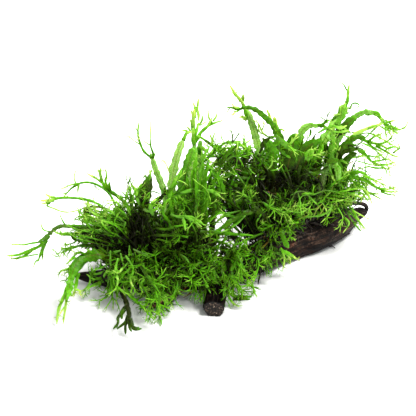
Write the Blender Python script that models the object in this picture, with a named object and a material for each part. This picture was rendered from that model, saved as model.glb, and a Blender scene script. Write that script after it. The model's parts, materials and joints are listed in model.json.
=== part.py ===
"""Java fern with finely forked frond tips, growing on a branching piece of driftwood.

Metres, +Z up. The wood lies on the floor plane z = 0. The origin is the middle of the flat worn
foot under the trunk, +X runs along the trunk towards its broken end, and +Y is the back.
"""

import math

import bmesh
import bpy
from mathutils import Vector

OBJECT_NAME = "java_fern_on_driftwood"
MM = 0.001

# The plant is laid out as it is seen from one place in front of it. A point of a frond is
# (across, up, behind): where it is seen on a sheet held up in front of the viewer, in mm from the
# sheet's middle, and how far behind the trunk's foot it stands, in mm along the floor.
SIGHT_AZIMUTH = math.radians(-24.0)
SIGHT_ELEVATION = math.radians(31.0)
SIGHT_DISTANCE = 900.0 * MM
SHEET_ACROSS = -45.6 * MM
SHEET_UP = 45.6 * MM

SIGHT_RIGHT = Vector((math.cos(SIGHT_AZIMUTH), math.sin(SIGHT_AZIMUTH), 0.0))
SIGHT_BACK = Vector((-math.sin(SIGHT_AZIMUTH), math.cos(SIGHT_AZIMUTH), 0.0))
SIGHT_UP = SIGHT_BACK * math.sin(SIGHT_ELEVATION) + Vector((0.0, 0.0, math.cos(SIGHT_ELEVATION)))
SIGHT_INTO = SIGHT_BACK * math.cos(SIGHT_ELEVATION) - Vector((0.0, 0.0, math.sin(SIGHT_ELEVATION)))
SHEET_MIDDLE = SIGHT_RIGHT * SHEET_ACROSS + SIGHT_UP * SHEET_UP
VIEWER = SHEET_MIDDLE - SIGHT_INTO * SIGHT_DISTANCE

# Driftwood: ring centres (x, y, z) and radii, in mm, along each limb. Each limb is a closed solid
# of its own, parted at the forks. Where a ring would sink below the floor it is worn flat.
WOOD_SIDES = 12
WOOD_SWELLS = ((3, 0.06, 1), (5, 0.04, -2))
WOOD_TWIST_PER_RING = 0.9
TRUNK = (
    ((-34, -10, 11.5), 11.0),
    ((-24, -7, 11.5), 12.0),
    ((-8, -3, 11.2), 12.6),
    ((12, 2, 11.2), 12.7),
    ((30, 5, 11.9), 12.8),
    ((45, 5.5, 12.3), 13.2),
    ((61, 9, 12.9), 13.4),
    ((75, 13.5, 13.4), 12.2),
    ((86, 18, 12.5), 9.2),
    ((95, 21, 11.5), 5.8),
)
TRUNK_TIP = (102, 23.5, 12)
LEFT_LIMB = (
    ((-34.4, -10.12, 11.5), 10.8),
    ((-44.4, -13.12, 11.5), 10.6),
    ((-56, -11, 11), 10.0),
    ((-68, -6, 11), 9.8),
    ((-82, 0, 10.5), 9.0),
    ((-98, 8, 9.5), 8.2),
    ((-112, 16, 7.4), 7.8),
    ((-124, 24, 6.6), 7.2),
    ((-136, 32, 6.0), 4.8),
    ((-142, 36, 6.2), 3.2),
)
LEFT_LIMB_TIP = (-148, 39, 6.6)
FRONT_STUB = (
    ((-46, -14, 11), 9.0),
    ((-52, -23, 10.4), 8.8),
    ((-58, -33, 9.2), 8.4),
    ((-66, -47, 7.3), 8.0),
)
LOWER_SPUR = (
    ((-79, -3, 9.5), 5.0),
    ((-86, -13, 7.4), 6.2),
    ((-95, -18, 6.0), 5.6),
    ((-102, -20, 5.0), 3.8),
)
LOWER_SPUR_TIP = (-108, -22, 4)
END_SPLINTER = (
    ((74, 20, 24.0), 2.2),
    ((84, 23, 23.5), 2.2),
    ((91, 25, 21.5), 1.8),
    ((98, 26, 18.5), 1.3),
)
END_SPLINTER_TIP = (103, 25.5, 16)
JOINT_GAP = 0.3
CUTTER_FLOOR = -2.0

# Creeping stems that the fronds grow from: points (x, y, z) along each, in mm.
STEM_RADIUS = 2.2
STEM_SIDES = 6
STEM_STEPS = 10
STEM_LINE_STEPS = 40
LEFT_STEM = ((-121, 21, 17.2), (-108, 15, 19), (-96, 9, 21), (-82, 3, 22.4), (-68, -3, 23.6),
             (-54, -8, 24.2))
RIGHT_STEM = ((-8, -2, 28), (6, 1, 27.6), (24, 4, 28.3), (46, 7.5, 29.8),
              (62, 10.5, 30.2), (73, 13, 29.4))

# A frond is a thin stipe, a strap-shaped blade, a waist and a crest of forked tips as one fan.
# Each stop is a fraction of the length, then the width there as stipes, blades and crests.
STIPE_WIDTH = 2.2
FROND_STOPS = (
    (0.0, (1.0, 0.0, 0.0)),
    (0.12, (1.0, 0.0, 0.0)),
    (0.32, (0.0, 0.8, 0.0)),
    (0.5, (0.0, 1.0, 0.0)),
    (0.66, (0.0, 0.8, 0.0)),
    (0.76, (0.0, 0.6, 0.0)),
    (0.9, (0.0, 0.0, 1.0)),
    (1.0, (0.0, 0.0, 0.4)),
)
FROND_THICKNESS = 1.1
FROND_STEPS = 12
UPRIGHT_SHARE = 0.45

# A tuft is a swarm of small fronds as one closed lens, narrow where it leaves the stem.
TUFT_STEPS = 8
TUFT_FOOT_THICKNESS = 1.8
TUFT_ROUNDING = 1.3
TUFT_SPAN = 0.94

CURVE_STEPS = 16


def sheet_ray(across, up):
    """Direction in which a point of the sheet is seen."""
    on_sheet = SHEET_MIDDLE + SIGHT_RIGHT * (across * MM) + SIGHT_UP * (up * MM)
    return on_sheet - VIEWER


def seen(across, up, behind):
    """Point that is seen at (across, up) and stands behind mm behind the foot."""
    ray = sheet_ray(across, up)
    reach = (behind * MM - VIEWER.dot(SIGHT_BACK)) / ray.dot(SIGHT_BACK)
    return VIEWER + ray * reach


def seen_all(points):
    """Points of a spine, each given as (across, up, behind)."""
    return [seen(*point) for point in points]


def in_mm(point):
    """Vector in metres for a point in mm."""
    return Vector(point) * MM


# Large fronds: blade width and crest width in mm, turn about the spine in degrees, and the spine
# from the stipe's foot on the creeping stem to the tips.
FRONDS = {
    "left_frond_1": (4.5, 10, 0, (
        (-60, -42, -28), (-61, -20, -18), (-62, -4, -10), (-68, 6, -6), (-76, 12, -4),
        (-82, 18, -2), (-86, 32, 0))),
    "left_frond_2": (4.0, 10, 0, (
        (-64, -43, -30), (-69, -14, -14), (-78, 10, 3), (-90, 19, 6), (-102, 20, 4),
        (-118, 12, 0))),
    "left_frond_3": (5.0, 11, 0, (
        (-67, -44, -31), (-75, -18, -16), (-85, 1, -6), (-95, 6, -5), (-107, 8, -6),
        (-119, 8, -7), (-134, 5, -8))),
    "left_frond_4": (8.0, 16, 0, (
        (-72, -47, -33), (-80, -30, -30), (-90, -17, -28), (-104, -16, -28), (-117, -14, -28),
        (-126, -20, -28), (-140, -30, -30), (-160, -39, -32))),
    "left_frond_5": (13.0, 11, 0, (
        (-76, -50, -36), (-82, -38, -40), (-92, -38, -44), (-103, -42, -50), (-109, -54, -60),
        (-112, -70, -76), (-118, -92, -93))),
    "left_frond_6": (6.0, 18, 0, (
        (-66, -48, -36), (-68, -54, -48), (-70, -64, -60), (-66, -74, -74), (-63, -86, -90),
        (-65, -99, -106))),
    "left_frond_7": (7.5, 16, 0, (
        (-34, -41, -28), (-33, -14, -8), (-34, 8, 8), (-39, 24, 18), (-43, 34, 22),
        (-46, 44, 26), (-55, 68, 34))),
    "left_frond_8": (9.0, 6, 0, (
        (-50, -42, -28), (-48, -16, -14), (-50, 4, -4), (-48, 18, 0), (-46, 29, 3))),
    "middle_frond_1": (7.5, 8, 0, (
        (-22, -41, -27), (-27, -10, -6), (-29, 12, 6), (-28, 28, 14), (-24, 44, 20),
        (-19, 56, 26), (-14, 64, 30))),
    "middle_frond_2": (9.5, 7, 0, (
        (-16, -41, -27), (-20, -8, -8), (-21, 12, -2), (-17, 30, 4), (-12, 48, 10))),
    "middle_frond_3": (6.0, 12, 0, (
        (-11, -40, -25), (-14, -6, -2), (-13, 20, 12), (-11, 46, 24), (-11, 60, 32),
        (-10, 70, 38), (-8, 86, 46))),
    "middle_frond_4": (6.0, 12, 0, (
        (-1, -39, -21), (-5, -4, 2), (-6, 26, 20), (-6, 54, 34), (0, 66, 42), (8, 73, 46))),
    "middle_frond_5": (8.0, 5, 0, (
        (-6, -40, -26), (-9, -12, -12), (-13, 8, -8), (-12, 24, -4), (-10, 38, 0))),
    "middle_frond_6": (4.5, 7, 0, (
        (42, -24, 2), (37, 6, 14), (28, 30, 22), (15, 44, 26), (6, 50, 28), (-5, 57, 28))),
    "bridge_frond_1": (9.0, 8, 0, (
        (46, -18, 3), (38, 6, 4), (24, 5, 0), (10, -1, -6), (-4, -14, -14))),
    "bridge_frond_2": (7.0, 8, 0, (
        (50, -20, -4), (44, -4, -7), (30, -4, -13), (16, -12, -19), (0, -24, -27))),
    "right_frond_1": (7.5, 8, 0, (
        (50, -21, 6), (49, 8, 20), (44, 36, 38), (40, 50, 44), (35, 68, 50), (29, 82, 56),
        (18, 98, 62))),
    "right_frond_2": (6.5, 7, 0, (
        (55, -15, 9), (59, 12, 22), (60, 48, 38), (55, 62, 42), (44, 74, 46), (32, 81, 47),
        (16, 79, 46))),
    "right_frond_3": (6.0, 5, 0, (
        (60, -16, 14), (62, 14, 34), (60, 44, 56), (53, 64, 66), (48, 78, 72))),
    "right_frond_4": (13.0, 12, 0, (
        (68, -15, 11), (65, 10, 16), (66, 34, 26), (68, 50, 32), (72, 59, 38))),
    "right_frond_5": (12.0, 8, 0, (
        (72, -12, 14), (74, 10, 20), (76, 30, 26), (80, 46, 32), (88, 54, 36))),
    "right_frond_6": (10.0, 8, 0, (
        (58, -20, 4), (55, 8, 10), (52, 30, 16), (52, 46, 22), (48, 54, 26))),
    "right_frond_7": (6.0, 10, 0, (
        (77, -5, 22), (75, 20, 32), (73, 48, 43), (76, 63, 49), (84, 66, 50), (97, 62, 48))),
    "right_frond_8": (8.0, 8, 0, (
        (83, -4, 27), (84, 20, 38), (90, 48, 54), (100, 66, 64), (108, 76, 71), (111, 90, 76),
        (106, 101, 80))),
    "right_frond_9": (7.0, 14, 0, (
        (87, -4, 30), (92, 18, 38), (102, 50, 50), (112, 66, 57), (122, 76, 60), (134, 75, 60),
        (140, 68, 58), (150, 60, 56))),
    "right_frond_10": (5.0, 8, 0, (
        (90, -3, 30), (95, 14, 31), (104, 42, 39), (114, 56, 42), (126, 63, 45), (142, 68, 47),
        (150, 70, 48))),
    "right_frond_11": (5.0, 16, 0, (
        (93, -6, 27), (98, 16, 26), (106, 46, 30), (120, 57, 32), (132, 52, 30), (148, 46, 26))),
    "right_frond_12": (6.0, 16, 0, (
        (96, -5, 29), (102, 14, 23), (108, 34, 23), (118, 44, 22), (128, 40, 18), (142, 32, 12))),
    "right_frond_13": (6.0, 16, 0, (
        (99, -4, 30), (106, 12, 22), (113, 26, 16), (124, 28, 9), (134, 18, 3), (148, 12, -2))),
    "right_frond_14": (5.0, 14, 0, (
        (102, -2, 33), (109, 10, 28), (116, 18, 23), (125, 16, 18), (136, 6, 12))),
    "right_frond_15": (6.0, 4, 0, (
        (84, -10, 20), (89, 10, 16), (94, 30, 16), (100, 36, 14), (104, 30, 10), (104, 20, 6))),
    "right_frond_16": (4.0, 12, 0, (
        (105, 0, 36), (109, 6, 41), (114, 0, 41), (120, -8, 38), (126, -17, 33))),
    "front_frond_1": (3.5, 10, 0, (
        (12, -35, -20), (13, -41, -36), (19, -58, -51), (29, -72, -61))),
    "front_frond_2": (4.0, 6, 0, (
        (58, -22, 2), (58, -18, -16), (62, -28, -22), (71, -40, -22))),
    "back_frond_1": (6.0, 14, 0, (
        (-58, -38, -20), (-60, -22, -8), (-64, -12, 10), (-72, -8, 26), (-84, -10, 38))),
    "back_frond_2": (6.0, 14, 0, (
        (-38, -37, -20), (-36, -16, 0), (-36, -4, 20), (-40, 2, 36), (-48, 0, 48))),
    "back_frond_3": (7.0, 14, 0, (
        (2, -35, -12), (4, -10, 6), (6, 8, 26), (9, 20, 46), (8, 22, 62))),
    "back_frond_4": (7.0, 16, 0, (
        (57, -13, 20), (56, 8, 34), (50, 26, 58), (40, 34, 76), (30, 30, 92))),
    "back_frond_5": (7.0, 16, 0, (
        (74, -6, 30), (76, 16, 50), (78, 36, 70), (82, 42, 88), (88, 38, 104))),
}

# Tufts of small fronds: width and thickness in mm, turn in degrees, and the tuft's middle line.
TUFTS = {
    "small_fronds_left_end": (13, 4, 70, (
        (-75, -47, -33), (-88, -33, -27), (-100, -30, -28), (-118, -36, -31))),
    "small_fronds_left_upper": (18, 4, 75, (
        (-69, -45, -31), (-78, -22, -22), (-88, -10, -18), (-100, -3, -15))),
    "small_fronds_left_low": (20, 4, 0, (
        (-70, -49, -38), (-80, -56, -44), (-90, -60, -52), (-97, -70, -62))),
    "small_fronds_left_front": (32, 5, 0, (
        (-52, -47, -33), (-52, -52, -50), (-50, -66, -68), (-46, -88, -96))),
    "small_fronds_middle_front": (34, 5, 0, (
        (-26, -46, -33), (-22, -42, -48), (-18, -52, -60), (-12, -66, -72))),
    "small_fronds_by_the_stub": (20, 4, 0, (
        (30, -34, -14), (30, -38, -34), (33, -51, -48), (38, -65, -56))),
    "small_fronds_trunk_front": (20, 4, 0, (
        (46, -26, -12), (48, -23, -22), (50, -35, -32), (52, -50, -37))),
    "small_fronds_trunk_top": (32, 4, 0, (
        (66, -20, 6), (68, -10, -2), (70, -12, -8), (70, -20, -10))),
    "small_fronds_right_end": (14, 4, 60, (
        (93, -13, 20), (100, -14, 12), (110, -8, 8), (122, -9, 6))),
    "small_fronds_right_upper": (18, 4, 70, (
        (95, -9, 23), (101, 6, 11), (108, 16, 5), (118, 15, 3))),
    "small_fronds_between_crowns": (28, 6, 0, (
        (30, -29, -8), (28, -2, 9), (22, 20, 15), (12, 34, 20))),
    "small_fronds_middle_top": (28, 5, 0, (
        (-30, -42, -28), (-26, -22, -20), (-22, -8, -18), (-16, 2, -18))),
    "small_fronds_left_top": (18, 4, 0, (
        (-55, -43, -30), (-57, -26, -29), (-59, -12, -26), (-60, 4, -22))),
    "small_fronds_left_back": (24, 4, 0, (
        (-76, -40, -18), (-80, -30, -8), (-86, -26, 4), (-92, -28, 14))),
}


def smooth_line(points, steps):
    """Even steps along a Catmull-Rom curve through the points."""
    points = [points[0] * 2 - points[1]] + list(points) + [points[-1] * 2 - points[-2]]
    dense = []
    for i in range(1, len(points) - 2):
        for k in range(CURVE_STEPS):
            dense.append(catmull_rom(points[i - 1:i + 3], k / CURVE_STEPS))
    dense.append(points[-2])
    lengths = [0.0]
    for a, b in zip(dense, dense[1:]):
        lengths.append(lengths[-1] + (b - a).length)
    return [at_length(dense, lengths, lengths[-1] * k / steps) for k in range(steps + 1)]


def catmull_rom(four, t):
    """Point at t between the middle two of four points."""
    a, b, c, d = four
    return 0.5 * (
        2 * b + (c - a) * t + (2 * a - 5 * b + 4 * c - d) * t ** 2
        + (3 * b - a - 3 * c + d) * t ** 3)


def at_length(line, lengths, wanted):
    """Point of a line at a length along it."""
    for a, b, start, end in zip(line, line[1:], lengths, lengths[1:]):
        if wanted <= end:
            return a.lerp(b, (wanted - start) / max(end - start, 1e-9))
    return line[-1].copy()


def loft(name, rings, first_tip=None, last_tip=None):
    """Closed mesh through rings of equal point count, each end closed on a tip or flat."""
    bm = bmesh.new()
    loops = [[bm.verts.new(point) for point in ring] for ring in rings]
    count = len(rings[0])
    for low, high in zip(loops, loops[1:]):
        for k in range(count):
            j = (k + 1) % count
            bm.faces.new((low[k], low[j], high[j], high[k]))
    close_end(bm, loops[0][::-1], first_tip)
    close_end(bm, loops[-1], last_tip)
    bmesh.ops.triangulate(bm, faces=bm.faces[:])
    if bm.calc_volume(signed=True) < 0:
        bmesh.ops.reverse_faces(bm, faces=bm.faces[:])
    mesh = bpy.data.meshes.new(name)
    bm.to_mesh(mesh)
    bm.free()
    return mesh


def close_end(bm, loop, tip):
    """Close a ring with a fan to its tip, or with one flat face."""
    if tip is None:
        bm.faces.new(loop)
        return
    point = bm.verts.new(tip)
    for k in range(len(loop)):
        bm.faces.new((loop[k], loop[(k + 1) % len(loop)], point))


def make_material(name, colour, roughness):
    """Plain Principled material of one colour."""
    material = bpy.data.materials.new(name)
    material.use_nodes = True
    shader = material.node_tree.nodes["Principled BSDF"]
    shader.inputs["Base Color"].default_value = (*colour, 1.0)
    shader.inputs["Roughness"].default_value = roughness
    shader.inputs["Metallic"].default_value = 0.0
    material.diffuse_color = (*colour, 1.0)
    return material


def place(collection, name, mesh, material):
    """Named object of the part in its collection."""
    mesh.materials.append(material)
    thing = bpy.data.objects.new(name, mesh)
    collection.objects.link(thing)
    return thing


def wood_ring(centre, along, radius, phase, floor):
    """Gnarled ring round a limb, worn flat where it meets the floor."""
    side = along.cross(Vector((0, 0, 1))).normalized()
    top = side.cross(along).normalized()
    ring = []
    for k in range(WOOD_SIDES):
        angle = 2 * math.pi * (k + 0.5) / WOOD_SIDES
        swell = 1.0
        for lobes, depth, turns in WOOD_SWELLS:
            swell += depth * math.sin(lobes * angle + turns * phase)
        reach = radius * MM * swell
        point = centre + side * (math.cos(angle) * reach) + top * (math.sin(angle) * reach)
        point.z = max(point.z, floor)
        ring.append(point)
    return ring


def wood_limb(name, stations, tip, grow=0.0, floor=0.0):
    """Limb of driftwood through its stations, ending in a tip or sawn flat."""
    centres = [in_mm(point) for point, radius in stations]
    rings = []
    for i, (point, radius) in enumerate(stations):
        before = centres[max(i - 1, 0)]
        after = centres[min(i + 1, len(centres) - 1)]
        along = (after - before).normalized()
        phase = WOOD_TWIST_PER_RING * i
        rings.append(wood_ring(centres[i], along, radius + grow, phase, floor))
    return loft(name, rings, last_tip=None if tip is None else in_mm(tip))


def cutter(collection, name, stations, tip):
    """Hidden limb, larger by the joint gap, that shapes the end of a limb joining it."""
    mesh = wood_limb(name, stations, tip, grow=JOINT_GAP, floor=CUTTER_FLOOR * MM)
    thing = bpy.data.objects.new(name, mesh)
    thing.hide_render = True
    thing.display_type = "WIRE"
    collection.objects.link(thing)
    return thing


def cut_away(thing, tool):
    """Cut one limb back where it meets another."""
    cut = thing.modifiers.new(tool.name, "BOOLEAN")
    cut.operation = "DIFFERENCE"
    cut.solver = "EXACT"
    cut.object = tool


def strip_profile(step, blade, crest):
    """Width of a frond at a fraction of its length."""
    stops = []
    for fraction, (stipes, blades, crests) in FROND_STOPS:
        stops.append((fraction, stipes * STIPE_WIDTH + blades * blade + crests * crest))
    for (low, wide_low), (high, wide_high) in zip(stops, stops[1:]):
        if step <= high:
            t = (step - low) / (high - low)
            return (wide_low + (wide_high - wide_low) * t) * MM
    return stops[-1][1] * MM


def tuft_profile(step, width):
    """Width of a tuft of small fronds at a fraction of its length."""
    swell = math.sin(TUFT_SPAN * math.pi * step ** TUFT_ROUNDING)
    return max(STIPE_WIDTH, width * swell) * MM


def flat_strip(name, spine, widths, thicknesses, turn):
    """Strip with a lens section that follows a spine; its width lies level unless turned."""
    reach = spine[-1] - spine[0]
    level = Vector((0, 0, 1)).cross(reach)
    if level.length < UPRIGHT_SHARE * reach.length:
        level = SIGHT_RIGHT.copy()
    if level.dot(SIGHT_RIGHT) < 0:
        level = -level
    rings = []
    for i in range(1, len(spine) - 1):
        along = (spine[i + 1] - spine[i - 1]).normalized()
        side = (level - along * level.dot(along)).normalized()
        normal = side.cross(along)
        swing = math.radians(turn)
        across = side * math.cos(swing) + normal * math.sin(swing)
        through = normal * math.cos(swing) - side * math.sin(swing)
        half = across * (widths[i] / 2)
        thick = through * (thicknesses[i] / 2)
        rings.append([spine[i] + half, spine[i] + thick, spine[i] - half, spine[i] - thick])
    return loft(name, rings, first_tip=spine[0], last_tip=spine[-1])


def stem_lines():
    """Middle lines of both creeping stems."""
    lines = []
    for stem in (LEFT_STEM, RIGHT_STEM):
        lines.append(smooth_line([in_mm(point) for point in stem], STEM_LINE_STEPS))
    return lines


def foot_on_stem(point):
    """Point just clear of the nearest creeping stem, on the side where the given point is."""
    centres = [centre for line in stem_lines() for centre in line]
    nearest = min(centres, key=lambda centre: (centre - point).length)
    away = (point - nearest).normalized()
    return nearest + away * (STEM_RADIUS + JOINT_GAP) * MM


def rooted(points):
    """Spine points in space, the first of them moved to its creeping stem."""
    spine = seen_all(points)
    spine[0] = foot_on_stem(spine[0])
    return spine


def frond_mesh(name, blade, crest, turn, points):
    """Strap-shaped frond: thin stipe, ribbon blade and a forked crest as one fan."""
    spine = smooth_line(rooted(points), FROND_STEPS)
    steps = [i / FROND_STEPS for i in range(FROND_STEPS + 1)]
    widths = [strip_profile(step, blade, crest) for step in steps]
    thicknesses = [FROND_THICKNESS * MM] * len(steps)
    return flat_strip(name, spine, widths, thicknesses, turn)


def tuft_mesh(name, width, thickness, turn, points):
    """Tuft of small fronds as one closed fan that reaches their tips."""
    spine = smooth_line(rooted(points), TUFT_STEPS)
    steps = [i / TUFT_STEPS for i in range(TUFT_STEPS + 1)]
    widths = [tuft_profile(step, width) for step in steps]
    thicknesses = []
    for step in steps:
        thick = max(TUFT_FOOT_THICKNESS, thickness * math.sin(math.pi * step))
        thicknesses.append(thick * MM)
    return flat_strip(name, spine, widths, thicknesses, turn)


def stem_mesh(name, points):
    """Creeping stem that lies along the wood."""
    line = smooth_line([in_mm(point) for point in points], STEM_STEPS)
    reach = STEM_RADIUS * MM
    rings = []
    for i in range(1, len(line) - 1):
        along = (line[i + 1] - line[i - 1]).normalized()
        side = along.cross(Vector((0, 0, 1))).normalized()
        top = side.cross(along)
        ring = []
        for k in range(STEM_SIDES):
            angle = 2 * math.pi * k / STEM_SIDES
            ring.append(line[i] + (side * math.cos(angle) + top * math.sin(angle)) * reach)
        rings.append(ring)
    return loft(name, rings, first_tip=line[0], last_tip=line[-1])


def empty_scene():
    """Remove whatever the scene starts with."""
    for thing in list(bpy.data.objects):
        bpy.data.objects.remove(thing, do_unlink=True)


def new_collection(name):
    """Collection of the given name in the scene."""
    collection = bpy.data.collections.new(name)
    bpy.context.scene.collection.children.link(collection)
    return collection


def build_driftwood(collection, cutters):
    """Trunk, its four side limbs, and the gaps where they meet."""
    bark = make_material("bark", (0.045, 0.03, 0.025), 0.75)
    place(collection, "driftwood_trunk", wood_limb("driftwood_trunk", TRUNK, TRUNK_TIP), bark)
    place(collection, "driftwood_left_limb",
          wood_limb("driftwood_left_limb", LEFT_LIMB, LEFT_LIMB_TIP), bark)
    trunk_cutter = cutter(cutters, "trunk_cutter", TRUNK, TRUNK_TIP)
    limb_cutter = cutter(cutters, "limb_cutter", LEFT_LIMB, LEFT_LIMB_TIP)
    stub = place(collection, "driftwood_front_stub",
                 wood_limb("driftwood_front_stub", FRONT_STUB, None), bark)
    spur = place(collection, "driftwood_lower_spur",
                 wood_limb("driftwood_lower_spur", LOWER_SPUR, LOWER_SPUR_TIP), bark)
    splinter = place(collection, "driftwood_end_splinter",
                     wood_limb("driftwood_end_splinter", END_SPLINTER, END_SPLINTER_TIP), bark)
    cut_away(stub, trunk_cutter)
    cut_away(stub, limb_cutter)
    cut_away(spur, limb_cutter)
    cut_away(splinter, trunk_cutter)


def build_stems(collection):
    """Both creeping stems on top of the wood."""
    stem = make_material("creeping_stem", (0.05, 0.06, 0.02), 0.6)
    place(collection, "creeping_stem_left", stem_mesh("creeping_stem_left", LEFT_STEM), stem)
    place(collection, "creeping_stem_right", stem_mesh("creeping_stem_right", RIGHT_STEM), stem)


def build_fronds(collection):
    """Large fronds of both crowns."""
    frond = make_material("frond", (0.06, 0.22, 0.02), 0.35)
    for name, (blade, crest, turn, points) in FRONDS.items():
        place(collection, name, frond_mesh(name, blade, crest, turn, points), frond)


def build_tufts(collection):
    """Tufts of small fronds along the wood."""
    small = make_material("small_fronds", (0.1, 0.32, 0.02), 0.4)
    for name, (width, thickness, turn, points) in TUFTS.items():
        place(collection, name, tuft_mesh(name, width, thickness, turn, points), small)


def main():
    """Build the whole object in an emptied scene."""
    empty_scene()
    collection = new_collection(OBJECT_NAME)
    cutters = new_collection("cutters")
    build_driftwood(collection, cutters)
    build_stems(collection)
    build_fronds(collection)
    build_tufts(collection)


main()
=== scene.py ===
# %% [markdown]
# # Java fern on driftwood
# The object is a water fern that has grown onto a branching piece of driftwood. Its plain solids
# come from the imported frame, and this notebook dresses them: bark for the wood, and for every solid
# leaf a real one with a midrib, rippled edges and, on most, a crest of forked tips. Everything is in
# metres, with +Z up, and a solid's place is the place of the piece that stands for it.

import json
import math
import random

import bmesh
import bpy
import numpy as np
from mathutils import Matrix

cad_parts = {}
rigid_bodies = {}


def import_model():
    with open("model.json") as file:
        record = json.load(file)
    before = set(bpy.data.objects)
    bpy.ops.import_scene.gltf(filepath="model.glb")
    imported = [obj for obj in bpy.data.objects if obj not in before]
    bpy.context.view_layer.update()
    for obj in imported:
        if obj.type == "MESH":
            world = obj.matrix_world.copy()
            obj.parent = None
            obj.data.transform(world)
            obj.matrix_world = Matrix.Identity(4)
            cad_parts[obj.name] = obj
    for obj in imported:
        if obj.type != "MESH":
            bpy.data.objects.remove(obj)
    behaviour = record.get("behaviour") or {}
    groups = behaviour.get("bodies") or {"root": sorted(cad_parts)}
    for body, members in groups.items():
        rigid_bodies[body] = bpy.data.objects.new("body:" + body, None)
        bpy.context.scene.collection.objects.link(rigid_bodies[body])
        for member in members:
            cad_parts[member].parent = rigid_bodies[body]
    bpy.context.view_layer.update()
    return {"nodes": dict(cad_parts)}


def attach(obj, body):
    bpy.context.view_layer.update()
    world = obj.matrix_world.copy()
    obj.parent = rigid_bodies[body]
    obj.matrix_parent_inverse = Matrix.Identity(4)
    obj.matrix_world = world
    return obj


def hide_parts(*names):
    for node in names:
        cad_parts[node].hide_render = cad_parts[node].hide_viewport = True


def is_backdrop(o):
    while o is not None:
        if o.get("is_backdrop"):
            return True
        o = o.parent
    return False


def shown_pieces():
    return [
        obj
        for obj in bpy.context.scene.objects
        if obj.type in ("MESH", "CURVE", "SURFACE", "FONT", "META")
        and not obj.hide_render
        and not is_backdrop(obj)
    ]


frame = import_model()
MM = 0.001

# %% [markdown]
# The fern is looked at from in front and a little above, turned to the left. A place in it is given
# as it is seen: across and up on a sheet held through its middle, in mm, and how far behind the
# trunk's foot it stands. `seen` turns that into a point, and `on_sheet` goes the other way. A point
# that would sink into the floor slides towards the viewer until it lies on it.

# %% Line of sight
SIGHT_AZIMUTH = math.radians(-24.0)
SIGHT_ELEVATION = math.radians(31.0)
SIGHT_DISTANCE = 0.9
PIXEL = 0.8 * MM
FRAME_PIXELS = 416
RIGHT = np.array([math.cos(SIGHT_AZIMUTH), math.sin(SIGHT_AZIMUTH), 0.0])
BACK = np.array([-math.sin(SIGHT_AZIMUTH), math.cos(SIGHT_AZIMUTH), 0.0])
UP = BACK * math.sin(SIGHT_ELEVATION) + np.array([0, 0, math.cos(SIGHT_ELEVATION)])
INTO = BACK * math.cos(SIGHT_ELEVATION) - np.array([0, 0, math.sin(SIGHT_ELEVATION)])
SHEET_MIDDLE = RIGHT * (-45.6 * MM) + UP * (45.6 * MM)
VIEWER = SHEET_MIDDLE - INTO * SIGHT_DISTANCE
LOWEST = 1.0 * MM


def seen(across, up, behind):
    """Point in metres of a place given as it is seen, in mm."""
    ray = SHEET_MIDDLE + RIGHT * (across * MM) + UP * (up * MM) - VIEWER
    reach = (behind * MM - VIEWER @ BACK) / (ray @ BACK)
    if ray[2] < 0:
        reach = min(reach, (LOWEST - VIEWER[2]) / ray[2])
    return VIEWER + ray * reach


def on_sheet(point):
    """Where a point is seen: across, up and behind, in mm."""
    away = np.asarray(point) - VIEWER
    ray = away * (SIGHT_DISTANCE / (away @ INTO))
    return np.array([ray @ RIGHT, ray @ UP, np.asarray(point) @ BACK]) / MM


# %% [markdown]
# The camera stands where the viewer does. The floor is a plain white sheet, and a white room lights
# all sides softly. Two soft lamps stand high on the right: a broad one a little in front gives the
# wood its shape, and a smaller one behind makes the leaves glow and throws their shadows forwards
# to the left.

# %% Camera, floor and light
scene = bpy.context.scene
ABOVE = np.array([0, 0, 1.0])
FLOOR_REACH = 6.0
LAMP_COLOUR = (1.0, 1.0, 0.98)


def facing_matrix(right, up, toward, place):
    """Matrix of a camera or lamp that looks the way `toward`."""
    rows = [[right[i], up[i], -toward[i], place[i]] for i in range(3)]
    return Matrix(rows + [[0, 0, 0, 1]])


def placed(name, data):
    """Object of some data, put into the scene."""
    made = bpy.data.objects.new(name, data)
    scene.collection.objects.link(made)
    return made


def new_material(name, roughness):
    """Principled material of a roughness: itself, its tree and its shader."""
    material = bpy.data.materials.new(name)
    material.use_nodes = True
    shader = material.node_tree.nodes["Principled BSDF"]
    shader.inputs["Roughness"].default_value = roughness
    return material, material.node_tree, shader


def add_floor():
    """Plain pale floor, far larger than the view."""
    mesh = bpy.data.meshes.new("floor")
    corners = [(x * FLOOR_REACH, y * FLOOR_REACH, 0) for x, y in ((-1, -1), (1, -1), (1, 1), (-1, 1))]
    mesh.from_pydata(corners, [], [(0, 1, 2, 3)])
    material, _, shader = new_material("floor", 0.9)
    shader.inputs["Base Color"].default_value = (0.8, 0.8, 0.79, 1)
    mesh.materials.append(material)
    placed("floor", mesh)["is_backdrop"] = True


def add_lamp(name, place, size, power):
    """Square soft lamp that faces the fern."""
    data = bpy.data.lights.new(name, "AREA")
    data.size = size
    data.energy = power
    data.color = LAMP_COLOUR
    toward = -place / np.linalg.norm(place)
    side = np.cross(toward, ABOVE)
    side /= np.linalg.norm(side)
    placed(name, data).matrix_world = facing_matrix(side, np.cross(side, toward), toward, place)


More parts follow.
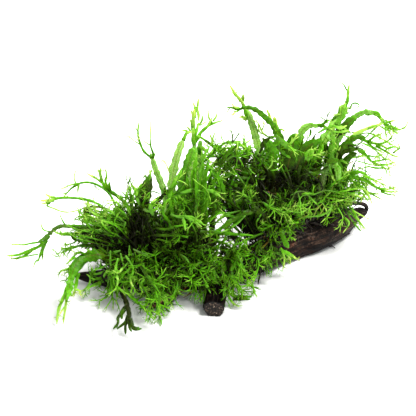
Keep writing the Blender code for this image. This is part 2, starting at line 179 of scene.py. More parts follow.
scene.view_settings.view_transform = "Standard"
camera_data = bpy.data.cameras.new("camera")
camera_data.sensor_width = 36.0
camera_data.lens = 36.0 * SIGHT_DISTANCE / (FRAME_PIXELS * PIXEL)
camera_data.clip_start = 0.01
scene.camera = placed("camera", camera_data)
scene.camera.matrix_world = facing_matrix(RIGHT, UP, INTO, VIEWER)
add_floor()
add_lamp("key lamp", RIGHT * 0.5 - BACK * 0.3 + ABOVE * 1.35, 0.5, 36.0)
add_lamp("back lamp", RIGHT * 0.55 + BACK * 0.85 + ABOVE * 1.15, 0.25, 30.0)
scene.world = bpy.data.worlds.new("white room")
scene.world.use_nodes = True
background = scene.world.node_tree.nodes["Background"]
background.inputs["Color"].default_value = (1, 1, 1, 1)
background.inputs["Strength"].default_value = 0.85
print("camera lens", round(camera_data.lens, 1), "mm")

# %% [markdown]
# Every leaf follows the line of its solid. That line could be written down here a second time, but
# then the two might differ, so it is read back instead. A solid is a strip of rings between two end
# points: merge its loose triangles, start at an end, and step from ring to ring. The wider pair of
# corners in a ring gives the leaf's width and which way it lies.

# %% Read a solid's rings


def merged(node):
    """Vertices and neighbours of a solid, its loose triangles merged."""
    bm = bmesh.new()
    bm.from_mesh(frame["nodes"][node].data)
    bmesh.ops.remove_doubles(bm, verts=bm.verts, dist=2e-6)
    bm.verts.ensure_lookup_table()
    points = np.array([v.co for v in bm.verts])
    beside = [[e.other_vert(v).index for e in v.link_edges] for v in bm.verts]
    bm.free()
    return points, beside


def layers_from(start, beside):
    """Steps outwards from one vertex, each a list of vertices."""
    layers, known = [[start]], {start}
    while True:
        fresh = []
        for i in layers[-1]:
            for j in beside[i]:
                if j not in known:
                    known.add(j)
                    fresh.append(j)
        if not fresh:
            return layers
        layers.append(fresh)


def rings_of(node, corners, closed=True):
    """End points and rings of a solid that was lofted through rings of that many corners."""
    points, beside = merged(node)
    for start in range(len(points)):
        if len(beside[start]) != corners:
            continue
        layers = layers_from(start, beside)
        sizes = [len(layer) for layer in layers]
        middle = sizes[1:-1] if closed else sizes[1:]
        if set(middle) == {corners} and (sizes[-1] == 1 or not closed):
            return points, layers
    raise ValueError(f"{node} has no rings of {corners}")


STEM_POINTS = np.concatenate([merged(name)[0] for name in frame["nodes"] if "stem" in name])


def read_strip(node):
    """Line, width and width direction of a frond's or tuft's solid, from its foot."""
    points, layers = rings_of(node, 4)
    ends = [points[layers[0][0]], points[layers[-1][0]]]
    gaps = [np.linalg.norm(STEM_POINTS - end, axis=1).min() for end in ends]
    if gaps[1] < gaps[0]:
        layers = layers[::-1]
    line = [points[layer].mean(axis=0) for layer in layers]
    sides, halves = [], []
    before = RIGHT
    for i, layer in enumerate(layers[1:-1]):
        ring = points[layer]
        pairs = [ring[a] - ring[b] for a in range(4) for b in range(a)]
        if i == 0:
            best = max(pairs, key=np.linalg.norm)
        else:
            best = max(pairs, key=lambda pair: abs(pair @ before))
        if best @ before < 0:
            best = -best
        halves.append(np.linalg.norm(best) / 2)
        before = best / np.linalg.norm(best)
        sides.append(before)
    sides = [sides[0]] + sides + [sides[-1]]
    halves = [halves[0]] + halves + [halves[-1] * 0.4]
    return np.array(line), np.array(halves), np.array(sides)


STRIPS = {}
for name in sorted(frame["nodes"]):
    if "frond" in name:
        STRIPS[name] = read_strip(name)
print("strips read:", len(STRIPS))

# %% [markdown]
# A few helpers on lines. `smooth` draws a smooth curve through a few points, in even steps.
# `strand` makes one leaf ribbon of it: at each step it keeps which way the ribbon's width lies, its
# half width and thickness, and four numbers for its colour. They are how near the tip it is, its
# tone from old dark green to young yellow-green, how brown it has gone, and how strong its painted
# sheen is: pale streaks of painted highlight.

# %% Lines and ribbons


def run_along(points):
    """How far along a line each of its points is."""
    return np.concatenate([[0], np.cumsum(np.linalg.norm(np.diff(points, axis=0), axis=1))])


def smooth(points, step):
    """Catmull-Rom curve through the points, in even steps of about the given length."""
    points = np.asarray(points, float)
    if len(points) == 2:
        points = np.array([points[0], (points[0] + points[1]) / 2, points[1]])
    padded = np.concatenate([[2 * points[0] - points[1]], points, [2 * points[-1] - points[-2]]])
    t = np.linspace(0, 1, 9)[:-1, None]
    dense = []
    for a, b, c, d in zip(padded, padded[1:], padded[2:], padded[3:]):
        dense.append(0.5 * (2 * b + (c - a) * t + (2 * a - 5 * b + 4 * c - d) * t ** 2
                            + (3 * b - a - 3 * c + d) * t ** 3))
    dense = np.concatenate(dense + [points[-1:]])
    run = run_along(dense)
    even = np.linspace(0, run[-1], max(3, int(round(run[-1] / step)) + 1))
    return np.stack([np.interp(even, run, dense[:, k]) for k in range(3)], axis=1)


def sheet_line(spots, depths, step):
    """Smooth line through places on the sheet, each at its depth."""
    return smooth([seen(across, up, behind) for (across, up), behind in zip(spots, depths)], step)


def spots_of(places):
    """Pairs of across and up from a row's flat list."""
    return np.array(places, float).reshape(-1, 2)


def unit(vectors):
    """Vectors scaled to length 1."""
    vectors = np.asarray(vectors, float)
    return vectors / np.maximum(np.linalg.norm(vectors, axis=-1, keepdims=True), 1e-9)


def tangents(line):
    """Direction of a line at each of its points."""
    return unit(np.gradient(line, axis=0))


def side_to_viewer(line, tilt=0.0):
    """Width direction that shows a ribbon's face to the viewer, give or take a tilt."""
    return np.cross(unit(VIEWER - line[0]) + tilt, tangents(line))


def turned(vector, axis, angle):
    """Vector turned about an axis."""
    axis = unit(axis)
    return (vector * math.cos(angle) + np.cross(axis, vector) * math.sin(angle)
            + axis * (axis @ vector) * (1 - math.cos(angle)))


def askew(rng):
    """Chance vector, each part from -1 to 1."""
    return np.array([rng.uniform(-1, 1) for _ in range(3)])


def spread(count, stops):
    """Values at even steps from a few (fraction, value) stops."""
    return np.interp(np.linspace(0, 1, count), *zip(*stops))


def ragged(rng, count, amount):
    """Factors around 1 that make a leaf's width uneven along it."""
    steps = np.arange(count)
    total = sum(np.sin(steps * rng.uniform(0.4, 2.2) + rng.uniform(0, 6.3)) for _ in range(3))
    return 1 + amount * total / 1.7


def strand(line, side, half, thick, tip, tone, brown=0.0, pale=0.0, seed=0.0):
    """One leaf ribbon along a line."""
    along = tangents(line)
    side = np.broadcast_to(side, line.shape)
    side = unit(side - along * np.sum(side * along, axis=1, keepdims=True))
    ribbon = {"half": half, "thick": thick, "tip": tip, "tone": tone, "brown": brown, "pale": pale}
    ribbon = {key: np.broadcast_to(value, len(line)) for key, value in ribbon.items()}
    return ribbon | {"line": line, "side": side, "up": np.cross(along, side),
                     "run": run_along(line) + seed}


# %% [markdown]
# Leaves repeat along paths, so Geometry Nodes make them. Building each face in Python would be
# slower, and one tree can serve every leaf, twig and root. The tree takes a mesh of bare lines and
# loose points. It sweeps each line with a flat lens, whose width lies the way the line's `side`
# says, then lifts both faces apart by the thickness, raises a midrib and ripples the edges. On each
# loose point it sets a small forked sprig from a collection, pointed and turned as the point says.

# %% Tree helpers


class Value:
    """Number, vector or colour in a node tree. Sums on it add Math nodes to its tree."""

    def __init__(self, socket):
        self.socket = socket
        self.tree = socket.id_data

    def math(self, operation, *others):
        return math_node(self.tree, operation, self, *others)

    def __add__(self, other):
        return self.math("ADD", other)

    def __mul__(self, other):
        return self.math("MULTIPLY", other)

    def __sub__(self, other):
        return self.math("SUBTRACT", other)

    def __rsub__(self, other):
        return math_node(self.tree, "SUBTRACT", other, self)

    def __truediv__(self, other):
        return self.math("DIVIDE", other)

    def __pow__(self, other):
        return self.math("POWER", other)

    def __abs__(self):
        return self.math("ABSOLUTE")


def feed(node, values):
    """Fill a node's inputs, each with a link or a plain value."""
    for key, value in values.items():
        if isinstance(value, Value):
            node.id_data.links.new(value.socket, node.inputs[key])
        else:
            node.inputs[key].default_value = value


def add_node(tree, kind, values=(), **settings):
    """Node of a kind with its settings and inputs."""
    node = tree.nodes.new(kind)
    for key, value in settings.items():
        setattr(node, key, value)
    feed(node, dict(values))
    return node


def output_of(tree, kind, values=(), output=0, **settings):
    """One output of a new node."""
    return Value(add_node(tree, kind, values, **settings).outputs[output])


def math_node(tree, operation, *values):
    """Math node's output for up to three values."""
    return output_of(tree, "ShaderNodeMath", enumerate(values), operation=operation)


def scaled(vector, factor):
    """Vector scaled by a number."""
    return output_of(vector.tree, "ShaderNodeVectorMath", {0: vector, "Scale": factor},
                     operation="SCALE")


def combined(x, y, z=0.0):
    """Vector of three values."""
    return output_of(x.tree, "ShaderNodeCombineXYZ", {"X": x, "Y": y, "Z": z})


def noise_at(vector, scale, detail=2.0, rough=0.5, output="Fac"):
    """Noise texture at a vector."""
    values = {"Vector": vector, "Scale": scale, "Detail": detail, "Roughness": rough}
    return output_of(vector.tree, "ShaderNodeTexNoise", values, output)


def named(tree, name, kind="FLOAT"):
    """What a mesh carries under a name, read in a tree of either kind."""
    if tree.bl_idname == "ShaderNodeTree":
        return output_of(tree, "ShaderNodeAttribute", output="Fac", attribute_name=name)
    return output_of(tree, "GeometryNodeInputNamedAttribute", {"Name": name}, data_type=kind)


def new_tree(name, kind, inputs, outputs):
    """Empty tree, its named inputs and its output node."""
    tree = bpy.data.node_groups.new(name, kind)
    for way, sockets in (("INPUT", inputs), ("OUTPUT", outputs)):
        for label, socket_kind, *value in sockets:
            socket = tree.interface.new_socket(label, in_out=way, socket_type="NodeSocket" + socket_kind)
            if value:
                socket.default_value = value[0]
    sockets = add_node(tree, "NodeGroupInput").outputs
    given = {socket.name: Value(socket) for socket in sockets if socket.name}
    return tree, given, add_node(tree, "NodeGroupOutput")


# %% Geometry helpers


def place_parts(tree):
    """X, Y and Z of where each point is."""
    place = output_of(tree, "GeometryNodeInputPosition")
    node = add_node(tree, "ShaderNodeSeparateXYZ", {0: place})
    return [Value(socket) for socket in node.outputs]


def stored(geometry, name, value):
    """Geometry with a number stored on its points."""
    return output_of(geometry.tree, "GeometryNodeStoreNamedAttribute",
                     {"Geometry": geometry, "Name": name, "Value": value}, data_type="FLOAT",
                     domain="POINT")


def moved(geometry, how, value):
    """Geometry moved to a position or by an offset."""
    return output_of(geometry.tree, "GeometryNodeSetPosition", {"Geometry": geometry, how: value})


def painted(geometry, material):
    """Geometry shaded smooth, with its material."""
    soft = output_of(geometry.tree, "GeometryNodeSetShadeSmooth", {"Geometry": geometry})
    return output_of(geometry.tree, "GeometryNodeSetMaterial", {"Geometry": soft, "Material": material})


def made_by(tree, name, mesh, values):
    """Plain mesh that a Geometry Nodes tree makes of a bare one."""
    holder = placed(name, mesh)
    modifier = holder.modifiers.new(name, "NODES")
    modifier.node_group = tree
    for item in tree.interface.items_tree:
        if item.in_out == "INPUT" and item.name in values:
            modifier[item.identifier] = values[item.name]
    depsgraph = bpy.context.evaluated_depsgraph_get()
    made = bpy.data.meshes.new_from_object(holder.evaluated_get(depsgraph))
    holder.modifiers.remove(modifier)
    bpy.data.objects.remove(holder)
    bpy.data.meshes.remove(mesh)
    return made


# %% Tree that grows leaves
REST_HEIGHT = 2.0 * MM
REST_EASE = 4.0 * MM
FLATNESS = 0.35


def leaf_profile(tree, corners):
    """Flat closed profile that remembers how far across, and on which face, each corner is."""
    circle = output_of(tree, "GeometryNodeCurvePrimitiveCircle", {"Resolution": corners, "Radius": 1.0},
                       "Curve")
    x, y, _ = place_parts(tree)
    circle = stored(circle, "across", x.math("SIGN") * abs(x) ** FLATNESS)
    circle = stored(circle, "face", y)
    return moved(circle, "Position", combined(named(tree, "across"), 0.0))


def leaf_relief(tree, given):
    """Offset of a leaf's surface: thickness, midrib and rippled edges."""
    across = named(tree, "across")
    rib = (1.0 - abs(across)) ** 6.0
    lift = (rib * given["Midrib"] + 1.0) * named(tree, "face") * named(tree, "thick")
    where = combined(named(tree, "run") / given["Ruffle Length"], across * 0.7)
    sway = noise_at(where, 1.0, 1.0) - 0.5
    edge = across * across * 0.85 + 0.15
    ruffle = sway * edge * given["Ruffle"] * named(tree, "half")
    return scaled(named(tree, "up", "FLOAT_VECTOR"), lift + ruffle)


def rest_on_floor(geometry):
    """Geometry eased up near the floor, so that what would sink in lies on it instead."""
    x, y, z = place_parts(geometry.tree)
    over = z - REST_HEIGHT
    eased = (over.math("MINIMUM", 0.0) / REST_EASE).math("EXPONENT") * REST_HEIGHT
    return moved(geometry, "Position", combined(x, y, over.math("MAXIMUM", 0.0) + eased))


def build_leaf_tree():
    """Geometry Nodes tree that sweeps ribbons and sets sprigs."""
    tree, given, output = new_tree(
        "Grow leaves", "GeometryNodeTree",
        (("Geometry", "Geometry"), ("Corners", "Int", 4), ("Midrib", "Float", 0.0),
         ("Ruffle", "Float", 0.0), ("Ruffle Length", "Float", 6.0 * MM), ("Sprigs", "Collection"),
         ("Material", "Material")), (("Geometry", "Geometry"),))
    up = named(tree, "up", "FLOAT_VECTOR")
    lines = output_of(tree, "GeometryNodeMeshToCurve", {"Mesh": given["Geometry"]})
    lines = output_of(tree, "GeometryNodeSetCurveNormal",
                      {"Curve": lines, "Normal": named(tree, "side", "FLOAT_VECTOR")}, mode="FREE")
    swept = output_of(tree, "GeometryNodeCurveToMesh", {
        "Curve": lines, "Profile Curve": leaf_profile(tree, given["Corners"]),
        "Scale": named(tree, "half"), "Fill Caps": True})
    ribbons = moved(swept, "Offset", leaf_relief(tree, given))
    shapes = output_of(tree, "GeometryNodeCollectionInfo", {
        "Collection": given["Sprigs"], "Separate Children": True, "Reset Children": True})
    turn = output_of(tree, "FunctionNodeAxesToRotation", {
        "Primary Axis": named(tree, "toward", "FLOAT_VECTOR"), "Secondary Axis": up},
        primary_axis="X", secondary_axis="Z")
    sprigs = output_of(tree, "GeometryNodeInstanceOnPoints", {
        "Points": given["Geometry"], "Selection": named(tree, "is_seat", "BOOLEAN"),
        "Instance": shapes, "Pick Instance": True, "Instance Index": named(tree, "shape", "INT"),
        "Rotation": turn, "Scale": named(tree, "size")})
    joined = add_node(tree, "GeometryNodeJoinGeometry", {0: sprigs})
    feed(joined, {0: ribbons})
    real = output_of(tree, "GeometryNodeRealizeInstances", {"Geometry": Value(joined.outputs[0])})
    feed(output, {0: painted(rest_on_floor(real), given["Material"])})
    return tree


LEAF_TREE = build_leaf_tree()

# %% [markdown]
# `grown_mesh` runs the tree. It writes the ribbons and seats of one piece into a bare mesh with
# their numbers as attributes, sets the modifier's inputs, and turns the result into a plain mesh.
# Only attributes that the material reads are kept.

# %% Grow one piece
NUMBERS = ("half", "thick", "tip", "tone", "brown", "pale", "run")
KEPT = ("across", "tip", "tone", "brown", "pale", "run", "half", "sharp_face", "material_index")


def carry(mesh, key, values, kind="FLOAT", slot="value"):
    """Store values on a mesh's points."""
    mesh.attributes.new(key, kind, "POINT").data.foreach_set(slot, np.ravel(values))


def bare_mesh(name, strands, seats):
    """Mesh of lines and loose points that carries the numbers of ribbons and seats."""
    points = [s["line"] for s in strands] + [np.array([s["place"] for s in seats]).reshape(-1, 3)]
    edges, start = [], 0
    for s in strands:
        count = len(s["line"])
        edges += [(start + i, start + i + 1) for i in range(count - 1)]
        start += count
    mesh = bpy.data.meshes.new(name)
    mesh.from_pydata(np.concatenate(points).tolist(), edges, [])
    for key in NUMBERS:
        values = [s[key] for s in strands] + [np.array([s.get(key, 0.0) for s in seats])]
        carry(mesh, key, np.concatenate(values).astype(np.float32))
    for key in ("side", "up", "toward"):
        values = [s.get(key, np.zeros((len(s["line"]), 3))) for s in strands]
        values.append(np.array([s.get(key, ABOVE) for s in seats]).reshape(-1, 3))
        carry(mesh, key, np.concatenate(values).astype(np.float32), "FLOAT_VECTOR", "vector")
    carry(mesh, "size", np.array([0.0] * start + [s["size"] for s in seats], np.float32))
    carry(mesh, "shape", np.array([0] * start + [s["shape"] for s in seats], np.int32), "INT")
    carry(mesh, "is_seat", np.array([False] * start + [True] * len(seats)), "BOOLEAN")
    return mesh


def grown_mesh(name, strands, seats, sprigs, material, corners, midrib=0.0, ruffle=0.0):
    """Plain mesh of ribbons and sprigs."""
    made = made_by(LEAF_TREE, name, bare_mesh(name, strands, seats), {
        "Corners": corners, "Midrib": midrib, "Ruffle": ruffle, "Sprigs": sprigs,
        "Material": material})
    for attribute in list(made.attributes):
        if attribute.name not in KEPT and not attribute.is_required and not attribute.is_internal:
            made.attributes.remove(attribute)
    return made


def finish_piece(name, mesh, slot, *nodes):
    """Object of a finished mesh, riding on the root and standing for its solids."""
    mesh.name = name
    piece = placed(name, mesh)
    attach(piece, "root")
    if nodes:
        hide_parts(*nodes)
    return piece


# %% [markdown]
# ## Leaf colours
# A frond of this fern is thin, wet and a little see-through. Young tips are yellow-green, the
# blades mid green with a net of darker veins and a brown midrib, and old leaves near the heart are
# almost black. A picture of a leaf would stretch on every blade in its own way, so the colour is
# worked out from the numbers that each leaf carries. One group gives the colour by tone and one the
# veins. The shader lets light through by subsurface scattering.

# %% Shader groups


def mix_colour(tree, factor, a, b, blend="MIX"):
    """Mix node's colour output."""
    return output_of(tree, "ShaderNodeMix", {0: factor, 6: a, 7: b}, 2, data_type="RGBA",
                     blend_type=blend)


def ramp(factor, stops):
    """Colour ramp through (position, colour) stops."""
    node = add_node(factor.tree, "ShaderNodeValToRGB", {0: factor})
    points = node.color_ramp.elements
    points[0].position, points[1].position = stops[0][0], stops[-1][0]
    for where, _ in stops[1:-1]:
        points.new(where)
    for point, (_, colour) in zip(points, stops):
        point.color = (*colour, 1)
    return Value(node.outputs["Color"])


def clamped(value):
    """Value kept between 0 and 1."""
    return output_of(value.tree, "ShaderNodeClamp", {0: value})


def object_place(tree):
    """Object coordinates."""
    return output_of(tree, "ShaderNodeTexCoord", output="Object")


BRIGHTEST_TONE = 1.25
GREENS = (
    (0.0, (0.0035, 0.0036, 0.0004)),
    (0.16, (0.009, 0.017, 0.0007)),
    (0.32, (0.027, 0.067, 0.0013)),
    (0.48, (0.046, 0.185, 0.002)),
    (0.64, (0.108, 0.35, 0.008)),
    (0.8, (0.32, 0.53, 0.075)),
    (1.0, (0.54, 0.72, 0.1)),
)
# Colour of the painted sheen: a painted highlight, mixed into a leaf's colour in pale streaks.
PAINTED_SHEEN_GREEN = (0.32, 0.5, 0.14, 1)
WITHERED_BROWN = (0.2, 0.08, 0.02, 1)


def leaf_colour_group():
    """Colour of living leaf by tone, tip and patches of age, with a painted sheen of pale streaks."""
    tree, given, output = new_tree(
        "Leaf colour", "ShaderNodeTree",
        (("Tone", "Float", 0.5), ("Tip", "Float", 0.0), ("Brown", "Float", 0.0),
         ("Pale", "Float", 0.0), ("Streak", "Float", 0.5), ("Place", "Vector")),
        (("Color", "Color"),))
    patches = noise_at(given["Place"], 330.0, 3.0, 0.6)
    drift = noise_at(given["Place"], 45.0)
    tone = (patches - 0.5) * 0.5 + given["Tone"] + (drift - 0.5) * 0.3
    young = given["Tip"] ** 2.0 * 0.22 - 0.05
    green = ramp((tone + young) / BRIGHTEST_TONE, GREENS)
    # Painted sheen: pale streaks of painted highlight, as strong as the leaf's pale number says.
    painted_sheen_mask = clamped(given["Pale"] * (given["Streak"] * 2.8 - 0.85))
    green = mix_colour(tree, painted_sheen_mask, green, PAINTED_SHEEN_GREEN)
    old = given["Brown"] * (patches + 0.3)
    feed(output, {"Color": mix_colour(tree, old, green, WITHERED_BROWN)})
    return tree


def vein_group():
    """Veins of a blade: midrib and slanting side veins, as masks."""
    tree, given, output = new_tree(
        "Leaf veins", "ShaderNodeTree",
        (("Across", "Float", 0.0), ("Run", "Float", 0.0), ("Half", "Float", 3.0 * MM),
         ("Place", "Vector")), (("Midrib", "Float"), ("Side veins", "Float")))
    off = abs(given["Across"])
    slant = off * given["Half"] * 0.8 + given["Run"]
    slant = (noise_at(given["Place"], 300.0) - 0.5) * (1.2 * MM) + slant
    wave = (slant * 3200.0).math("SINE") * 0.5 + 0.5
    feed(output, {"Midrib": clamped(1.0 - off * 9.0), "Side veins": clamped(wave ** 3.0)})
    return tree


LEAF_COLOUR = leaf_colour_group()
VEINS = vein_group()

# %% Leaf materials


def bumped(height, strength, distance):
    """Normal roughened by a height."""
    return output_of(height.tree, "ShaderNodeBump",
                     {"Strength": strength, "Distance": distance, "Height": height})


def leaf_material(name, glow):
    """Wet, thin, slightly see-through leaf, with veins where it is broad enough."""
    material, tree, shader = new_material(name, 0.4)
    place = object_place(tree)
    read = {key: named(tree, key) for key in ("across", "run", "half", "tone", "tip", "brown", "pale")}
    along = combined(read["across"] * 2.2, read["run"] * 110.0, read["half"] * 900.0)
    colour = output_of(tree, "ShaderNodeGroup", {
        "Streak": noise_at(along, 1.0, 3.0), "Tone": read["tone"], "Tip": read["tip"],
        "Brown": read["brown"], "Pale": read["pale"], "Place": place}, node_tree=LEAF_COLOUR)
    veins = add_node(tree, "ShaderNodeGroup", {
        "Across": read["across"], "Run": read["run"], "Half": read["half"], "Place": place},
        node_tree=VEINS)
    broad = clamped(read["half"] * 700.0 - 0.8)
    ribs = Value(veins.outputs["Side veins"]) * broad
    colour = mix_colour(tree, ribs * 0.45, colour, (0.4, 0.5, 0.25, 1), "MULTIPLY")
    midrib = Value(veins.outputs["Midrib"]) * broad
    colour = mix_colour(tree, midrib * 0.8, colour, (0.075, 0.05, 0.01, 1))
    height = ribs * 0.5 + noise_at(place, 260.0) * 3.0
    feed(shader, {
        "Base Color": colour, "Roughness": noise_at(place, 220.0) * 0.3 + 0.2,
        "Subsurface Weight": glow, "Subsurface Radius": (0.6, 1.0, 0.15),
        "Subsurface Scale": 0.6 * MM, "IOR": 1.4, "Specular IOR Level": 0.1,
        "Normal": bumped(height, 0.5, 0.3 * MM)})
    return material


FROND = leaf_material("frond", 0.4)
SMALL_FROND = leaf_material("small frond", 0.15)
print("leaf materials ready")

# %% [markdown]
# ## Sprigs
# The lace of this fern is made of one small thing repeated: a ribbon a few millimetres long that
# forks two or three times. A handful of shapes is enough once each is turned and scaled on its own
# seat. They lie along +X with their width along Y, and are about 12 mm long. Four corners and few
# steps keep each to a few dozen faces.

# %% Sprig shapes
SPRIG_COUNT = 16
SPRIG_LENGTH = 12.0
TWIG_HALF = 0.58
FAN_OF_TWO = (-20, 24)
FAN_OF_THREE = (-36, 2, 34)


def branch(rng, start, heading, length, bend, steps):
    """Line of a twig that bends steadily to one side."""
    side = np.array([-heading[1], heading[0], 0.0]) * bend
    lift = ABOVE * rng.uniform(-0.3, 0.3)
    t = np.linspace(0, 1, steps)[:, None]
    return start + heading * length * t + (side + lift) * length * t ** 2


def twig_strand(line, width, tip_from):
    """Ribbon of one twig of a sprig."""
    count = len(line)
    half = width * TWIG_HALF * spread(count, ((0, 0.9), (0.6, 0.95), (1, 0.2))) * MM
    return strand(line * MM, (0, 1.0, 0), half, np.maximum(half * 0.3, 0.1 * MM),
                  np.linspace(tip_from, 1.0, count), 0.0)


def sprig_strands(seed):
    """Ribbons of one sprig, in metres: a fan of two or three fingers with forked ends."""
    rng = random.Random(1000 + seed)
    strands = []
    for angle in FAN_OF_TWO if seed % 3 == 0 else FAN_OF_THREE:
        heading = turned(np.array([1.0, 0, 0]), ABOVE, math.radians(angle + rng.uniform(-10, 10)))
        reach = SPRIG_LENGTH * rng.uniform(0.65, 1.1)
        finger = branch(rng, np.zeros(3), heading, reach, rng.uniform(-0.7, 0.7), 4)
        strands.append(twig_strand(finger, 1.0, 0.0))
        way = rng.choice((-1, 1))
        for at, share in ((1, 0.5), (2, 0.42)):
            ahead = unit(finger[at + 1] - finger[at])
            toward = turned(ahead, ABOVE, way * math.radians(rng.uniform(30, 55)))
            toward = unit(toward + ABOVE * rng.uniform(-0.4, 0.4))
            length = SPRIG_LENGTH * share * rng.uniform(0.7, 1.15)
            if at == 2 or rng.random() < 0.35:
                twig = branch(rng, finger[at], toward, length, -way * 0.2, 2)
                strands.append(twig_strand(twig, 0.85, at / 3))
            way = -way
    return strands


SPRIGS = bpy.data.collections.new("sprig shapes")
for seed in range(SPRIG_COUNT):
    shape_mesh = grown_mesh(f"sprig_{seed:02d}", sprig_strands(seed), [], None, None, 4)
    for key in ("tone", "brown", "pale"):
        shape_mesh.attributes.remove(shape_mesh.attributes[key])
    SPRIGS.objects.link(bpy.data.objects.new(f"sprig_{seed:02d}", shape_mesh))

# %% [markdown]
# A thicket left to chance loses its shape. So the outline of the mass, the gaps where the floor
# shows through, the bare wood, and the painted shade at each crown's heart are laid out too. A
# chance frond outside the outline or in a gap isn't grown; one in a patch of painted shade is painted
# darker, and one high up is painted lighter, as painted light.

# %% Outline, gaps and painted shade


def laid_out(text):
    """Rows of numbers by piece: a word with a colon names the piece, a comma ends a row."""
    table = {}
    for word in text.replace(",", " ,").split():
        if word.endswith(":"):
            rows = table[word[:-1]] = [[]]
        elif word == ",":
            rows.append([])
        else:
            rows[-1].append(float(word))
    return table


# Corners of the outline and of each gap, across and up, and for each patch of painted shade its
# middle, how wide and high it is, and how much darker it is painted; a negative one is painted lighter.
AREAS = laid_out("""
outline:
-118 -36 -104 -24 -119 -20 -106 -8 -100 2 -84 3 -76 0 -66 7 -63 20 -57 19 -52 22 -47 25 -44 8 -36 16 -31 24
-27 40 -22 56 -14 60 -6 58 0 47 8 50 16 54 30 53 40 59 46 61 56 62 64 60 74 62 84 68 94 68 104 76 111 82 116
74 112 60 122 58 134 55 150 50 152 34 142 28 130 26 138 20 152 14 150 7 136 5 124 0 128 -18 112 -22 107 -12
98 -6 92 -8 84 -13 70 -20 66 -27 72 -42 62 -50 50 -57 44 -48 36 -56 44 -65 30 -76 12 -82 9 -66 -2 -76 -10 -72
-16 -64 -28 -66 -26 -82 -36 -95 -50 -93 -58 -80 -52 -66 -62 -68 -72 -73 -84 -75 -79 -66 -82 -60 -80 -49 -92
-47 -96 -41 -90 -36 -104 -32
gaps:
-4 -18 3 -11 8 -7 15 -6 9 -14 4 -18, 19 -20 20 -13 26 -11 28 -16 24 -20, 30 -7 33 0 38 0 37 -6, 0 -4 4 0 10 4
6 -2, -46 8 -36 15 -30 24 -30 42 -44 42, 58 -44 58 -29 74 -19 86 -12.5 98 -6.5 108 -3 116 -5 126 -2 132 -4
114 -20 102 -29, -2 -76 -4 -86 10 -88 12 -76
hollows:
-54 -14 11 18 .5, 52 18 20 11 .6, 82 20 16 9 .35, 28 38 14 7 .35, -22 -28 20 6 .25, -90 -30 10 5 .25, -88 -6
24 11 -.12
""")
OUTLINE = AREAS["outline"][0]
# Painted light: fronds are painted lighter higher up, by at most this much, from this height on and over
# this span in mm.
PAINTED_LIGHT_LIFT = 0.09
PAINTED_LIGHT_FROM = -18.0
PAINTED_LIGHT_SPAN = 25.0


def inside(polygon, across, up):
    """Whether a place on the sheet lies in a polygon of across and up pairs."""
    corners = list(zip(polygon[::2], polygon[1::2]))
    odd = False
    for (a0, u0), (a1, u1) in zip(corners, corners[1:] + corners[:1]):
        if (u0 > up) != (u1 > up) and across < a0 + (up - u0) * (a1 - a0) / (u1 - u0):
            odd = not odd
    return odd


def in_gap(point):
    """Whether a point is seen in one of the gaps."""
    across, up, _ = on_sheet(point)
    return any(inside(gap, across, up) for gap in AREAS["gaps"])


def room_at(point):
    """Whether a chance frond may reach a point."""
    across, up, _ = on_sheet(point)
    return inside(OUTLINE, across, up) and not in_gap(point)


def painted_shade_at(point):
    """How much darker a frond is painted at a point: painted shade in the patches, painted light high up."""
    across, up, _ = on_sheet(point)
    painted_light = PAINTED_LIGHT_LIFT * min(max((up - PAINTED_LIGHT_FROM) / PAINTED_LIGHT_SPAN, 0.0), 1.0)
    return sum(depth * math.exp(-((across - a) / wide) ** 2 - ((up - u) / high) ** 2)
               for a, u, wide, high, depth in AREAS["hollows"]) - painted_light
